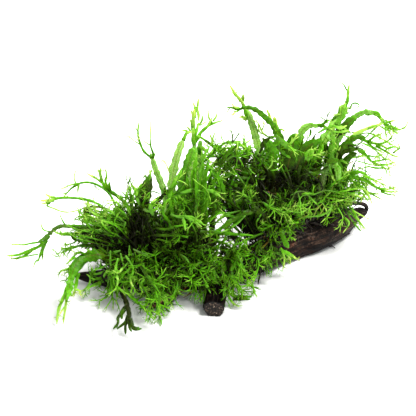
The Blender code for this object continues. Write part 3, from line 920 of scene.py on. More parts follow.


# %% [markdown]
# ## Forked tips of the large fronds
# Which way the tips of a large frond point is what tells one frond from another, so they are listed
# one by one. Each row is one tip ribbon: its width in mm, how many sprigs stand on it, its tone,
# and its line as it is seen, across and up on the sheet. How deep it lies comes from the frond that
# it belongs to. A few broad blades have no tips, and the fronds at the back, which are hardly seen,
# get a fan of tips by rule.

# %% Tips, listed one by one
TIPS = laid_out("""
left_frond_1:
2.9 1 .53 -78 13 -79 17 -79 21, 2.9 2 .63 -79 14 -83 18 -85 22 -86 27 -86 32, 1.7 1 .68 -84 20 -86 25 -88 31,
2.1 2 .68 -79 15 -82 21 -81 26 -82 31, 2.1 1 .83 -84 20 -90 24 -94 26 -97 28
left_frond_2:
1.4 2 .78 -104 20 -111 18 -118 15, 1.1 0 .93 -106 20 -107 25 -105.5 31, 1.6 3 .63 -103 19 -109 16 -113 12
-118 11, 1.7 1 .78 -103 20 -104 15 -104 11, 1 0 .83 -91 18 -88 15 -84 14
left_frond_3:
2.3 2 .85 -122 8 -126 9 -130 11, 2.6 2 .85 -120 8 -127 6 -134 6, 1.8 1 .85 -123 6 -129 4 -133.5 3.5, 1.3 0
.85 -126 4 -129 2 -123 -.5 -116 -3 -109 -3 -102 -1 -97 1, 1.3 1 .85 -104 -2 -102 -7 -99 -12, 1.3 0 .85 -97 7
-95 3 -94 0
left_frond_4:
2.74 3 .6 -127 -22 -134 -30 -143 -34 -152 -37.5 -161 -38, 1.6 2 .75 -132 -27 -140 -28 -149 -29.5 -160 -28.5,
2.2 3 .7 -141 -34 -148 -39 -158 -41, 2.36 3 .6 -129 -26 -133 -34 -136 -43, 1.98 2 .55 -129 -26 -132 -34
-132.5 -41.5, 1.29 2 .8 -136 -37 -142 -38 -149 -40, 1.3 0 .8 -135 -41 -138 -43 -140 -48, 1.3 0 .75 -127 -19
-132 -17 -134 -11, 1.3 1 .7 -114 -14 -117 -9 -118.5 -5, 2.9 3 .6 -98 -18 -108 -21 -117 -21 -123 -19, 2 2 .45
-110 -20 -107 -25 -100 -26 -93 -24
left_frond_5:
2.88 3 .75 -112 -62 -115 -70 -118 -77 -120 -83 -121 -93, 2.56 2 .8 -111 -62 -113 -72 -114 -79 -115 -86 -116
-93, 1.2 1 .95 -115 -79 -118 -84 -120 -87, 1.6 2 .7 -106 -39 -111 -43 -114 -45, 1.8 3 .6 -108 -44 -112 -49
-117 -50 -120 -54, 1.5 2 .55 -110 -47 -112 -51 -115 -52, 3 1 .6 -104 -52 -105 -58 -106 -66, 1.8 2 .8 -106 -62
-107 -67 -109 -71, 1.7 2 .85 -106 -65 -103 -66 -102 -70, 4 0 .55 -92 -37 -98 -42 -103 -48 -107 -54, 1.5 1 .6
-97 -37 -103 -36 -108 -39 -112 -43, 1.2 1 .6 -92 -37 -95 -34 -98 -33, 1.2 2 .6 -98 -37 -102 -35 -106 -36, 1.2
2 .5 -106 -48 -110 -47 -113 -49, 1.2 1 .5 -108 -55 -112 -56 -115 -60, 1.2 1 .6 -108 -60 -106 -64 -106 -68
left_frond_6:
2.6 0 .28 -65 -77 -69 -83 -72 -88 -72 -92 -76 -97, 3.1 0 .38 -67 -81 -69 -85 -69 -89, 1.8 0 .33 -72 -91 -73
-96, 2.3 0 .28 -64 -87 -67 -92 -73 -97, 2.9 0 .26 -64 -86 -66 -94 -66 -101, 2.6 0 .28 -63 -88 -63 -95 -61
-99, 2.9 0 .33 -62 -88 -60 -96 -57 -97 -53 -96.5, 1.8 0 .38 -60 -95 -57 -96 -55 -95
left_frond_7:
2.1 1 .68 -45 40 -51 45 -54 51 -56 59 -55 70, .9 1 .83 -53 50 -58 53 -62 56 -67 59, 1.8 0 .63 -44 40 -44 44
-46 50 -46 57, 1.1 0 .93 -46 56 -46 62 -46 70, .9 1 .83 -45 49 -49 52 -52 54 -56 58, 2 0 .63 -45 40 -43 42
-43 44, .9 1 .88 -56 61 -58 64 -60 66
left_frond_8:
1.8 2 .8 -46 24 -46 28 -45 31, 1.8 2 .65 -49 22 -50 26 -52 24
middle_frond_1:
3.1 0 .7 -20 54 -18.5 57 -17 60 -13 61, 1.8 0 .85 -16 61 -18 62 -21 62, 1.8 0 .8 -14 61 -15 63 -17 65.5
middle_frond_3:
3.3 0 .68 -11 50 -12 55 -12 59 -12 64, 3.7 1 .83 -12 62 -12 68 -11.5 74 -11 79, 3.1 0 .68 -11 55 -10 60 -8.5
64 -8 67 -6 68, 2.9 0 .8 -11 72 -10.5 78 -9.5 80.5 -8.5 78 -7.5 74 -8 69, 1.8 0 .93 -10 79 -11 82 -12.5 85, 2
0 1 -8.5 79 -8 84 -7.5 88, 1.8 0 .78 -6.5 67.5 -5 69.5 -4.5 72 -5 75, 1.3 0 .88 -7 66 -4 67.5 -.5 69.5, 2.1 1
.88 -12 66 -13.5 69 -14 71, 1.6 1 .98 -12 72 -13 76 -14 78
middle_frond_4:
3.1 0 .68 -11 52 -8 56 -6 60 -3 63 0 66 2.5 71, 1.8 0 .73 0 65.5 3 67.5 2.5 71, 1.6 0 1 2 70 .5 73 0 79, 1.3
0 .78 2.5 70.5 3.5 73, 2 0 .78 0 65.5 4 67.5 8 69 12 70, 1.7 0 1 4 69.5 6.5 73 7.5 77
middle_frond_6:
2.9 0 .55 14 43 7 47 4 49.5 0 52.5 -5 56 -9 58, 1.7 1 .85 3 50 3 55 1.5 59, 1.4 0 .8 4 51 4 56 6 61.5, 4.4 0
.7 -8 45 -5 48 -1 45, 1.3 1 .8 1 40 0 44 .5 48
right_frond_1:
2.3 1 .95 26 85 23 90 20 94 17 99, 3.5 0 .8 27 84 28 88 28.5 91, 2.1 1 1 31 70 28 72 25 73, 1.8 1 1 31 72 28
73 26 74, 1.7 1 .9 23 89 20 92 19 93, 1.6 3 .95 48 57 44 60 41 66 38 71, 1.4 2 .95 45 59 41 61 40 67, 1.3 1
.9 43 62 45 67 44 70, 3.2 0 .8 31 72 29.5 79 27.5 84 24 90
right_frond_2:
2.3 2 .55 30 81 25 79 20 80 15 80.5, 1.8 1 .6 26 80 23 77 20 78, 1.7 1 .85 25 80 21 81 19 84, 1.3 1 .95 24 78
21 76 18 74
right_frond_3:
4.4 1 .85 55 62 54 67 53 73, 2.6 1 .95 51 68 49 74 47 79, 1.8 1 .85 55 62 59 63 62 61
right_frond_7:
3.1 1 .7 84 66 91 66 97 63 102 62, 2.1 1 .6 87 65 93 68 96 70, 1.8 1 .6 82 63 82 59 80 56
right_frond_8:
3.1 0 .7 109 80 111.5 86 112 92 113 99, 1.3 0 .7 111 94 109 98 105 101.5, 1.6 0 .6 112 80 114 80 115 83 118
84 121 82.5 120 80.5 118 81
right_frond_9:
4.4 1 .63 126 76 134 76 138 72 141 68, 2.1 3 .63 140 69 144 65 148 62 152 59.5, 1.8 3 .68 141 68 146 65 149
62 150 60, 1.7 3 .73 141 67 144 63 146 59 147 55, 1.6 2 .78 142 66 142 60 143 56
right_frond_10:
2 2 .78 140 67 145 69 150 70, 1.6 2 .78 146 66 153 63 158 65 160 70
right_frond_11:
2.9 4 .63 120 57 128 53 136 51 145 47, 2.1 4 .7 128 53 133 57 140 60, 2 4 .7 136 51 143 53 148 58, 2 4 .7 134
50 141 46 148 42 153 41, 1.8 3 .7 142 47 149 49 153 47, 1.8 3 .7 126 54 133 48 141 44, 1.6 2 .7 148 44 153 48
152 52
right_frond_12:
2.23 3 .64 120 46 127 42 131 37 138 34 143 31, 1.51 4 .7 128 42 134 41 140 43, 1.51 4 .7 131 37 138 38 144 39
149 36, 1.3 3 .7 138 35 144 35 150 37, 1.66 2 .64 140 32 134 32 128 33 122 31, 1.15 2 .7 140 38 143 41 144
45, .94 2 .7 142 32 143 28 147 25
right_frond_13:
2.61 2 .64 122 29 126 27 125 25, 2.97 3 .59 122 24 128 21 134 17 140 14, 2.07 3 .69 124 26 131 23 136 19, 1.8
3 .7 136 16 143 15 150 16, 1.8 3 .7 138 14 145 13 152 13, 1.44 3 .7 138 13 144 11 150 10
right_frond_14:
1.8 3 .7 122 16 130 12 138 11, 1.52 3 .7 124 14 129 9 131 3, 1.44 2 .7 126 13 133 10 140 6
right_frond_15:
2.6 0 .7 104 34 104 28 104 22 102 19, 2.1 0 .75 97 35 98 30 100 24 103 20
right_frond_16:
1.33 2 .86 112 2 118 -6 124 -14 127 -18, 1.04 2 .91 116 -2 123 -6 131 -10, 1.21 1 .96 114 -2 112 -12 107 -21,
.98 2 .86 118 -6 121 -12 123 -18
front_frond_1:
3.1 1 .4 18 -68 22 -71 28 -71 35 -71, 2.6 1 .35 20 -73 27 -73 34 -73, 2 2 .75 16 -70 20 -76 25 -79
front_frond_2:
2.1 2 .7 60 -34 66 -37 71 -41, 1.8 2 .75 58 -32 61 -40 60 -50, 1.8 2 .7 58 -32 65 -40 66 -45
bridge_frond_1:
2.9 3 .65 10 -1 2 -8 -6 -18, 2.6 3 .6 14 2 4 0 -4 -6, 2.1 3 .6 20 4 12 8 4 10
bridge_frond_2:
3.1 4 .6 16 -12 8 -18 -4 -24, 2.6 4 .55 24 -8 14 -6 6 -12, 2.3 4 .6 28 -6 20 -14 12 -22
""")

# %% [markdown]
# Each large frond is one blade along its solid's line, up to where the solid's fan of tips begins,
# and then its tips. The solid is only a flat strip, so a fresh ribbon takes its line and its width.
# A look is the share of the line that the blade takes, how much of the solid's width it takes, its
# tone, how strongly its edges ripple, how strong its painted sheen is, and how much it narrows to the tip.

# %% How each blade looks
LOOKS = laid_out("""
left_frond_1: .8 .7 .42 .5 0 0
left_frond_2: .9 .5 .5 .5 0 0
left_frond_3: .92 .45 .55 .8 0 0
left_frond_4: .78 .45 .45 1.5 .2 .2
left_frond_5: .82 .86 .62 1.7 0 .62
left_frond_6: .86 .62 .1 .4 0 0
left_frond_7: .78 .8 .6 .6 .75 .2
left_frond_8: .97 1 .14 .9 .2 .2
middle_frond_1: .9 .95 .72 .7 1 .1
middle_frond_2: 1 .9 .5 .5 .12 0
middle_frond_3: .74 1 .5 .7 .3 0
middle_frond_4: .8 1 .5 .6 .4 0
middle_frond_5: 1 1 .7 1.3 1 0
middle_frond_6: .88 1 .38 .7 0 0
bridge_frond_1: .84 .5 .48 .9 0 0
bridge_frond_2: .84 .6 .4 .9 0 0
right_frond_1: .84 1.05 .72 .8 .75 .25
right_frond_2: .92 .95 .42 .8 0 .3
right_frond_3: .9 .9 .35 1 .25 0
right_frond_4: 1 1 .42 .6 0 0
right_frond_5: 1 .8 .42 1.1 .15 0
right_frond_6: 1 .8 .45 1.1 0 0
right_frond_7: .9 1 .7 1 .5 0
right_frond_8: .84 1 .68 1.2 .4 .2
right_frond_9: .84 .95 .5 1.2 .4 .3
right_frond_10: .92 .8 .9 .8 .3 .2
right_frond_11: .78 1 .4 .8 0 0
right_frond_12: .74 1 .38 .8 0 0
right_frond_13: .7 .6 .5 .8 0 0
right_frond_14: .76 .6 .55 .7 0 0
right_frond_15: 1 .9 .55 .8 .5 0
right_frond_16: .7 .5 .6 .6 0 0
front_frond_1: .8 1 .4 .6 0 0
front_frond_2: .8 1 .5 .8 0 0
""")
BACK_LOOK = (0.8, 0.8, 0.35, 0.9, 0.0, 0.2)
SOLID_BLADE = 0.75
BLADE_STEP = 1.2 * MM
BLADE_SHAPE = ((0, 0.35), (0.1, 0.5), (0.25, 0.8), (0.4, 0.97), (0.8, 1), (0.92, 0.88),
               (0.98, 0.6), (1, 0.25))
LEAST_HALF = 0.9 * MM
TURN_SHARE = 0.8


def turned_to_viewer(line, sides):
    """Width directions of a blade, turned part of the way to show its face."""
    shown = unit(np.cross(VIEWER - line, tangents(line)))
    sign = np.sign(np.sum(shown * sides, axis=1).sum()) or 1.0
    return unit((1 - TURN_SHARE) * sides + TURN_SHARE * sign * shown)


def blade_strand(node, look, seed):
    """The blade of a large frond, along its solid."""
    share, broad, tone, ripple, pale, taper = look
    line, halves, sides = STRIPS[node]
    even = smooth(line, BLADE_STEP)
    keep = max(4, int(len(even) * share))
    stations = np.linspace(0, keep / len(even), keep) * (len(sides) - 1)
    sides = np.stack([np.interp(stations, np.arange(len(sides)), sides[:, k]) for k in range(3)], axis=1)
    even = even[:keep]
    fade = np.linspace(0, 1, keep)
    half = broad * halves[:int(len(halves) * SOLID_BLADE)].max() * spread(keep, BLADE_SHAPE)
    half = half * (1 - taper * fade)
    wobble = ragged(random.Random(seed), keep, 0.08 + 0.1 * ripple)
    half = half * (1 + (wobble - 1) * np.interp(fade, (0, 0.2, 0.35), (0, 0.3, 1)))
    half = np.maximum(half, LEAST_HALF * np.interp(fade, (0, 0.1, 0.9, 1), (0.5, 1, 1, 0.3)))
    thick = np.interp(fade, (0, 0.25, 0.5, 1), (0.7, 0.55, 0.5, 0.4)) * MM
    tones = tone + np.interp(fade, (0, 0.35, 0.8, 1), (-0.25, -0.06, 0.06, 0.1))
    # Painted shade at the crowns' hearts and painted light high up, by place.
    tones = tones - [painted_shade_at(point) for point in even]
    brown = np.interp(fade, (0, 0.25, 0.4, 1), (0.25, 0.1, 0.0, 0.0))
    # Painted sheen, none at the foot of the blade and full from its middle on.
    painted_sheen_strengths = pale * np.interp(fade, (0, 0.3, 0.6), (0, 0.5, 1))
    return strand(even, turned_to_viewer(even, sides), half, thick, fade * 0.45, tones, brown, painted_sheen_strengths,
                  seed * 0.01)


# %% [markdown]
# Sprigs stand along the outer part of a ribbon, left and right in turn, each with a lean, a size
# and a tone of its own. They are only seats here: the tree sets the shapes on them.

# %% Sprigs along a ribbon
TONE_SWING = 0.28


def seat(place, toward, up, size, tone, rng):
    """Seat for one sprig."""
    return {"place": place, "toward": unit(toward), "up": unit(up), "size": size, "tone": tone,
            "shape": rng.randrange(SPRIG_COUNT)}


def sprigs_on(rng, ribbon, count, size, start):
    """Seats alternating along the outer part of a ribbon."""
    seats = []
    line = ribbon["line"]
    last = len(line) - 1
    way = rng.choice((-1, 1))
    for k in range(count):
        share = start + (1 - start) * (k + rng.uniform(0.2, 0.9)) / count
        at = min(last, max(1, int(share * last)))
        up = unit(ribbon["up"][at] + 0.7 * askew(rng))
        along = unit(line[at] - line[at - 1])
        toward = turned(along, up, way * math.radians(rng.uniform(20, 80)))
        swing = rng.uniform(-1, 1)
        tone = float(ribbon["tone"][at]) + TONE_SWING * math.copysign(abs(swing) ** 0.5, swing)
        seats.append(seat(line[at], toward, up, size * rng.uniform(0.7, 1.2), tone, rng))
        way = -way
    return seats


# %% Tips of a large frond
TIP_STEP = 1.3 * MM
TIP_GAIN = 1.25
TIP_FROM = 0.45
TIP_SHAPE = ((0, 0.5), (0.15, 0.5), (0.6, 0.42), (0.9, 0.3), (1, 0.12))
TIP_SPRIG = 0.4
FAN_ANGLES = (-50, -30, -12, 8, 26, 48)


def depth_near(node, across, up):
    """How far behind a frond's line is, nearest to a place on the sheet."""
    spots = np.array([on_sheet(point) for point in smooth(STRIPS[node][0], 3 * MM)])
    return spots[np.argmin((spots[:, 0] - across) ** 2 + (spots[:, 1] - up) ** 2), 2]


def tip_strands(rng, node, rows):
    """Tip ribbons of a large frond, and the seats on them."""
    strands, seats = [], []
    for width, twigs, tone, *places in rows:
        spots = spots_of(places)
        depth = depth_near(node, *spots[0])
        splay = rng.uniform(-4, 4)
        depths = np.array([0.5 * (depth + depth_near(node, across, up)) for across, up in spots])
        line = sheet_line(spots, depths + splay * np.linspace(0, 1, len(spots)), TIP_STEP)
        count = len(line)
        half = spread(count, TIP_SHAPE) * width * MM * (1 + 0.12 * np.sin(np.arange(count) * 1.1 + splay))
        side = side_to_viewer(line, 0.35 * askew(rng))
        tones = tone * np.linspace(1, TIP_GAIN if tone > TIP_FROM else 1, count)
        ribbon = strand(line, side, half, np.maximum(half * 0.22, 0.13 * MM),
                        np.linspace(0.2, 1, count), tones, seed=rng.random())
        strands.append(ribbon)
        seats += sprigs_on(rng, ribbon, int(twigs), TIP_SPRIG, 0.35)
    return strands, seats


def fan_rows(node, tone):
    """Rule for a fan of tips at the end of a frond that has none laid out by eye."""
    line, _, sides = STRIPS[node]
    rng = random.Random(node)
    fan, seats = [], []
    root, end = line[-4], line[-1] - line[-4]
    for angle in FAN_ANGLES:
        turn = math.radians(angle + rng.uniform(-9, 9))
        up = np.cross(unit(end), sides[-4])
        toward = unit(turned(unit(end), up, turn) + 0.35 * askew(rng))
        length = np.linalg.norm(end) * rng.uniform(0.6, 1.1)
        knee = root + toward * length * 0.5
        tip_line = smooth([root, knee, knee + turned(toward, up, -0.5 * turn) * length * 0.5], TIP_STEP)
        count = len(tip_line)
        half = spread(count, ((0, 0.9), (0.5, 0.75), (1, 0.25))) * MM
        ribbon = strand(tip_line, sides[-4], half, 0.16 * MM, np.linspace(0.3, 1, count), tone)
        fan.append(ribbon)
        seats += sprigs_on(rng, ribbon, 4, 0.6, 0.35)
    return fan, seats


# %% Make the large fronds


def joined_meshes(mesh, other):
    """The first mesh with the second joined to it."""
    bm = bmesh.new()
    bm.from_mesh(mesh)
    bm.from_mesh(other)
    bm.to_mesh(mesh)
    bm.free()
    bpy.data.meshes.remove(other)
    return mesh


def make_frond(node):
    """Finished large frond for one solid."""
    rng = random.Random(node)
    look = LOOKS.get(node, [BACK_LOOK])[0]
    _, _, tone, ripple, _, _ = look
    blade = blade_strand(node, look, rng.uniform(0, 9))
    if node in TIPS:
        tips, seats = tip_strands(rng, node, TIPS[node])
    elif node in LOOKS:
        tips, seats = [], []
    else:
        tips, seats = fan_rows(node, tone + 0.1)
    mesh = grown_mesh(node + "_leaf", [blade], [], SPRIGS, FROND, 12, 0.9, 1.7 * ripple)
    if tips:
        crest = grown_mesh(node + "_tips", tips, seats, SPRIGS, FROND, 6, 0.4, 0.4)
        mesh = joined_meshes(mesh, crest)
    return finish_piece(node + "_leaf", mesh, "frond", node)


faces = 0
for node in sorted(STRIPS):
    if not node.startswith("small"):
        faces += len(make_frond(node).data.polygons)
print("large fronds:", faces, "faces")

# %% [markdown]
# ## Small fronds
# Between the large fronds stands a thicket of small ones, 15 to 40 mm long and forked all over.
# There are too many to draw one by one, so only bundles of them are laid out, called sprays, and
# chance places each frond in its bundle. Each row gives how many fronds, the size of their sprigs,
# their tone, how widely they spread in mm, and where the bundle starts and ends as it is seen. The
# rows stand under the last part of the tuft's name.

# %% Sprays, listed one by one
SPRAYS = laid_out("""
left_end:
5 .76 .79 5 -86 -30 -28 -112 -29 -29, 4 .68 .89 4 -90 -30 -28 -116 -36 -31, 4 .68 .64 5 -82 -32 -28 -100 -27
-26
left_upper:
8 .7 .83 5 -72 -38 -28 -98 -8 -14, 8 .7 .88 5 -72 -36 -28 -96 -18 -20, 8 .7 .93 5 -70 -36 -27 -86 -8 -14, 7
.7 .73 5 -68 -40 -27 -90 -24 -24, 6 .7 .93 4 -66 -38 -26 -78 -6 -10, 6 .63 .88 4 -72 -30 -24 -102 -22 -24, 5
.7 .78 4 -70 -34 -24 -100 -4 -12, 12 .46 .67 7 -66 -30 -30 -96 -12 -28, 12 .46 .69 6 -64 -26 -30 -84 -2 -28,
8 .46 .69 5 -62 -22 -30 -70 4 -26, 8 .41 .73 5 -80 -28 -32 -110 -20 -32
left_low:
3 1.2 .71 5 -76 -48 -40 -80 -70 -66, 3 1.2 .61 6 -76 -44 -38 -72 -62 -58, 3 1.2 .56 6 -76 -40 -34 -84 -46 -44
left_front:
4 1.3 .63 8 -52 -46 -36 -46 -82 -88, 4 1.3 .68 8 -46 -46 -36 -38 -82 -86, 4 1.3 .58 8 -58 -44 -36 -58 -60
-58, 4 1.3 .63 9 -50 -44 -36 -38 -64 -66, 4 1.3 .68 7 -46 -48 -40 -30 -76 -76, 4 1.3 .63 7 -62 -42 -36 -64
-46 -50
middle_front:
6 1.2 .55 8 -34 -44 -34 -30 -62 -62, 6 1.2 .65 8 -18 -44 -34 -8 -64 -66, 5 1.2 .6 8 -10 -42 -33 4 -60 -60, 6
1.09 .51 8 -28 -40 -32 -30 -32 -46, 6 1.09 .56 8 -12 -40 -32 -6 -32 -48, 5 1.2 .6 8 -22 -42 -33 -20 -50 -54,
6 1.09 .51 8 -4 -38 -28 8 -44 -46, 5 1.09 .51 8 -44 -42 -34 -46 -44 -50
by_the_stub:
7 .97 .61 7 26 -36 -18 18 -62 -58, 7 .97 .66 6 22 -36 -20 14 -70 -68, 6 .97 .66 6 30 -38 -24 34 -62 -56, 6
.97 .66 7 22 -34 -20 26 -34 -38, 5 .97 .56 7 16 -36 -20 14 -46 -46, 4 .97 .56 6 32 -34 -16 38 -44 -36
trunk_front:
9 .59 .64 7 50 -28 -18 50 -46 -34, 6 .59 .69 5 48 -28 -18 62 -42 -33, 6 .59 .59 6 46 -26 -16 38 -44 -32, 6
.59 .59 6 48 -26 -14 46 -14 -14, 6 .59 .64 5 50 -26 -14 56 -26 -26
trunk_top:
5 .59 .55 6 56 -16 4 54 -8 -4, 5 .59 .65 6 62 -14 4 64 -12 -6, 5 .59 .55 6 72 -10 8 74 -10 0, 5 .59 .6 6 80
-6 12 86 -6 6, 5 .59 .65 6 64 -16 0 68 -18 -8, 8 .78 .35 7 78 -6 14 80 16 12, 8 .78 .35 7 68 -8 10 66 6 4, 8
.78 .4 7 88 -6 20 92 16 18, 7 .78 .35 7 58 -12 8 56 8 6, 4 .82 .52 8 48 -16 6 50 44 14, 4 .82 .42 9 72 -8 20
78 34 16, 4 .82 .57 8 84 -6 24 90 54 30, 4 .82 .57 8 64 -12 12 62 38 12, 9 .9 .5 9 62 -14 14 58 10 44, 9 .9
.5 9 80 -6 24 80 16 52, 8 .9 .45 8 70 -12 16 66 -6 46, 8 .9 .5 8 92 -4 30 92 2 58, 7 .9 .5 8 76 -8 22 74 26
56
right_end:
8 .59 .7 5 102 -4 20 116 -10 8, 5 .52 .72 4 106 0 20 124 -12 6, 4 .59 .7 4 100 -4 20 110 -16 6
right_upper:
5 .64 .76 6 98 2 20 114 14 4, 4 .57 .81 6 102 6 20 124 10 4, 5 .78 .66 6 96 4 18 106 22 10, 3 .57 .86 5 106
10 14 132 10 0, 3 .64 .71 6 94 0 18 104 6 6, 9 .82 .65 8 94 -2 30 102 52 30, 8 .82 .6 8 98 0 34 114 42 26, 5
.74 .73 7 100 2 34 128 28 20, 5 .74 .73 7 96 0 30 120 18 14, 9 .9 .55 8 100 0 36 96 22 60, 7 .9 .5 7 104 2 40
104 8 58
between_crowns:
10 .95 .48 8 34 -24 -4 24 22 14, 10 .95 .43 8 38 -22 0 14 28 18, 9 .95 .53 8 30 -28 -8 8 8 6, 8 .95 .58 7 38
-22 -2 36 8 4, 8 .95 .48 7 34 -22 -2 8 36 24, 8 .95 .43 8 40 -20 4 30 40 24, 6 .95 .53 7 26 -30 -10 10 -14
-8, 9 .9 .5 8 36 -22 0 2 26 8, 9 .9 .55 8 38 -22 0 18 44 18, 8 .9 .55 8 40 -20 4 34 50 22, 8 .9 .45 9 34 -24
-4 -4 14 4, 8 .9 .4 9 36 -22 0 24 16 6, 8 .9 .5 8 50 -20 4 42 0 36, 8 .9 .5 8 44 -20 0 34 14 40, 7 .9 .45 8
40 -24 -4 30 -12 26
middle_top:
9 .95 .53 8 -30 -40 -30 -34 -8 -18, 9 .95 .58 8 -22 -40 -30 -18 -6 -18, 8 .95 .53 8 -14 -40 -28 -4 -18 -20, 8
.95 .53 7 -26 -40 -30 -26 6 -14, 8 .95 .48 7 -36 -42 -30 -42 -2 -18, 7 .95 .48 7 -40 -42 -30 -40 -22 -26, 7
.95 .58 7 -18 -40 -29 -14 -24 -30, 8 .9 .5 8 -12 -38 -26 -8 14 -14, 8 .9 .45 8 -2 -34 -20 -2 2 -10, 8 .9 .5 8
-26 -42 -30 -24 14 -18, 8 .9 .35 8 -44 -43 -30 -46 -14 -22, 9 .9 .5 9 -20 -42 -28 -16 -12 4, 8 .9 .45 8 -5
-40 -26 4 -10 6, 8 .9 .45 8 -28 -43 -28 -26 -26 6, 8 .9 .5 8 -8 -42 -27 -4 -24 8
left_top:
8 .95 .56 6 -60 -42 -30 -66 -4 -20, 6 .95 .41 6 -54 -42 -30 -50 4 -20, 6 .95 .61 5 -62 -40 -28 -62 6 -18, 6
.95 .36 6 -56 -42 -28 -56 -20 -22, 8 .9 .58 6 -54 -30 -28 -48 10 -18, 7 .9 .53 6 -56 -30 -28 -60 4 -20
left_back:
9 1.05 .38 9 -76 -40 -18 -88 -30 8, 9 1.05 .38 9 -66 -40 -20 -70 -14 2, 9 1.05 .38 9 -40 -40 -20 -40 -14 4, 9
1.05 .5 9 -60 -42 -28 -62 -12 0, 9 1.05 .5 9 -40 -42 -28 -36 -10 2, 8 1.05 .45 8 -50 -43 -28 -50 -24 4, 8
1.05 .5 8 -70 -44 -28 -80 -24 2
""")

# %% [markdown]
# These blades are broad and plain, most of them dark: painted shade that fills the space between
# the small fronds and behind them.
# Each row gives how many, their width in mm, and then the same as a spray's row.

# %% Broad dark blades as painted shade, listed one by one
SHADE_FILL_BLADES = laid_out("""
trunk_top:
10 3.7 .22 8 62 -12 12 64 46 24, 10 3.7 .25 8 80 -8 22 84 50 32, 8 3.1 .15 8 70 -8 20 72 30 26, 8 3.1 .25 7
52 -16 6 46 44 20, 6 4 .45 7 66 -12 16 62 26 52, 6 4 .45 7 86 -6 26 90 34 62, 5 3.5 .4 7 76 -10 20 76 4 62
between_crowns:
10 3.1 .25 8 40 -22 0 30 38 14, 8 2.5 .25 8 38 -24 -4 14 34 8, 8 2.5 .3 8 36 -24 -4 16 14 0, 9 3.1 .5 8 36
-12 2 6 32 16, 9 3.1 .5 8 38 -12 4 24 46 22, 8 3 .45 8 36 -14 0 0 20 10, 5 3.5 .45 7 42 -22 0 34 16 40
right_upper:
10 3.1 .4 7 92 -4 28 100 52 36, 8 2.5 .4 6 96 -2 32 114 40 30, 8 2.5 .3 7 90 -4 28 104 22 22
middle_top:
10 2.5 .4 7 -24 -42 -30 -22 10 -20, 8 2.5 .35 7 -12 -42 -28 -6 20 -14, 8 2.5 .3 7 -36 -43 -30 -38 2 -20, 8
2.5 .3 6 -10 -38 -24 2 8 -10, 8 4.5 .6 6 -24 -30 -24 -18 34 -20, 7 4 .55 5 -10 -30 -20 -8 40 -14
left_top:
8 2.5 .15 5 -54 -44 -30 -52 0 -22, 6 2.2 .25 4 -62 -44 -30 -64 -6 -22, 8 3 .45 5 -54 -24 -26 -50 14 -18
left_upper:
10 2.2 .42 5 -66 -44 -30 -86 -12 -24, 8 2.2 .42 5 -68 -44 -30 -90 -22 -26
left_front:
10 2.2 .12 7 -50 -45 -32 -48 -62 -52, 8 2.2 .12 7 -62 -45 -32 -64 -54 -46
middle_front:
10 2.2 .12 7 -28 -44 -32 -26 -56 -50, 10 2.2 .12 7 -10 -40 -30 0 -50 -46
by_the_stub:
8 2.2 .12 6 26 -34 -16 20 -52 -40
left_back:
6 4 .45 7 -60 -42 -28 -66 -4 8, 6 4 .4 7 -30 -42 -28 -24 -2 10, 5 3.5 .4 7 -46 -44 -28 -48 -30 12
""")
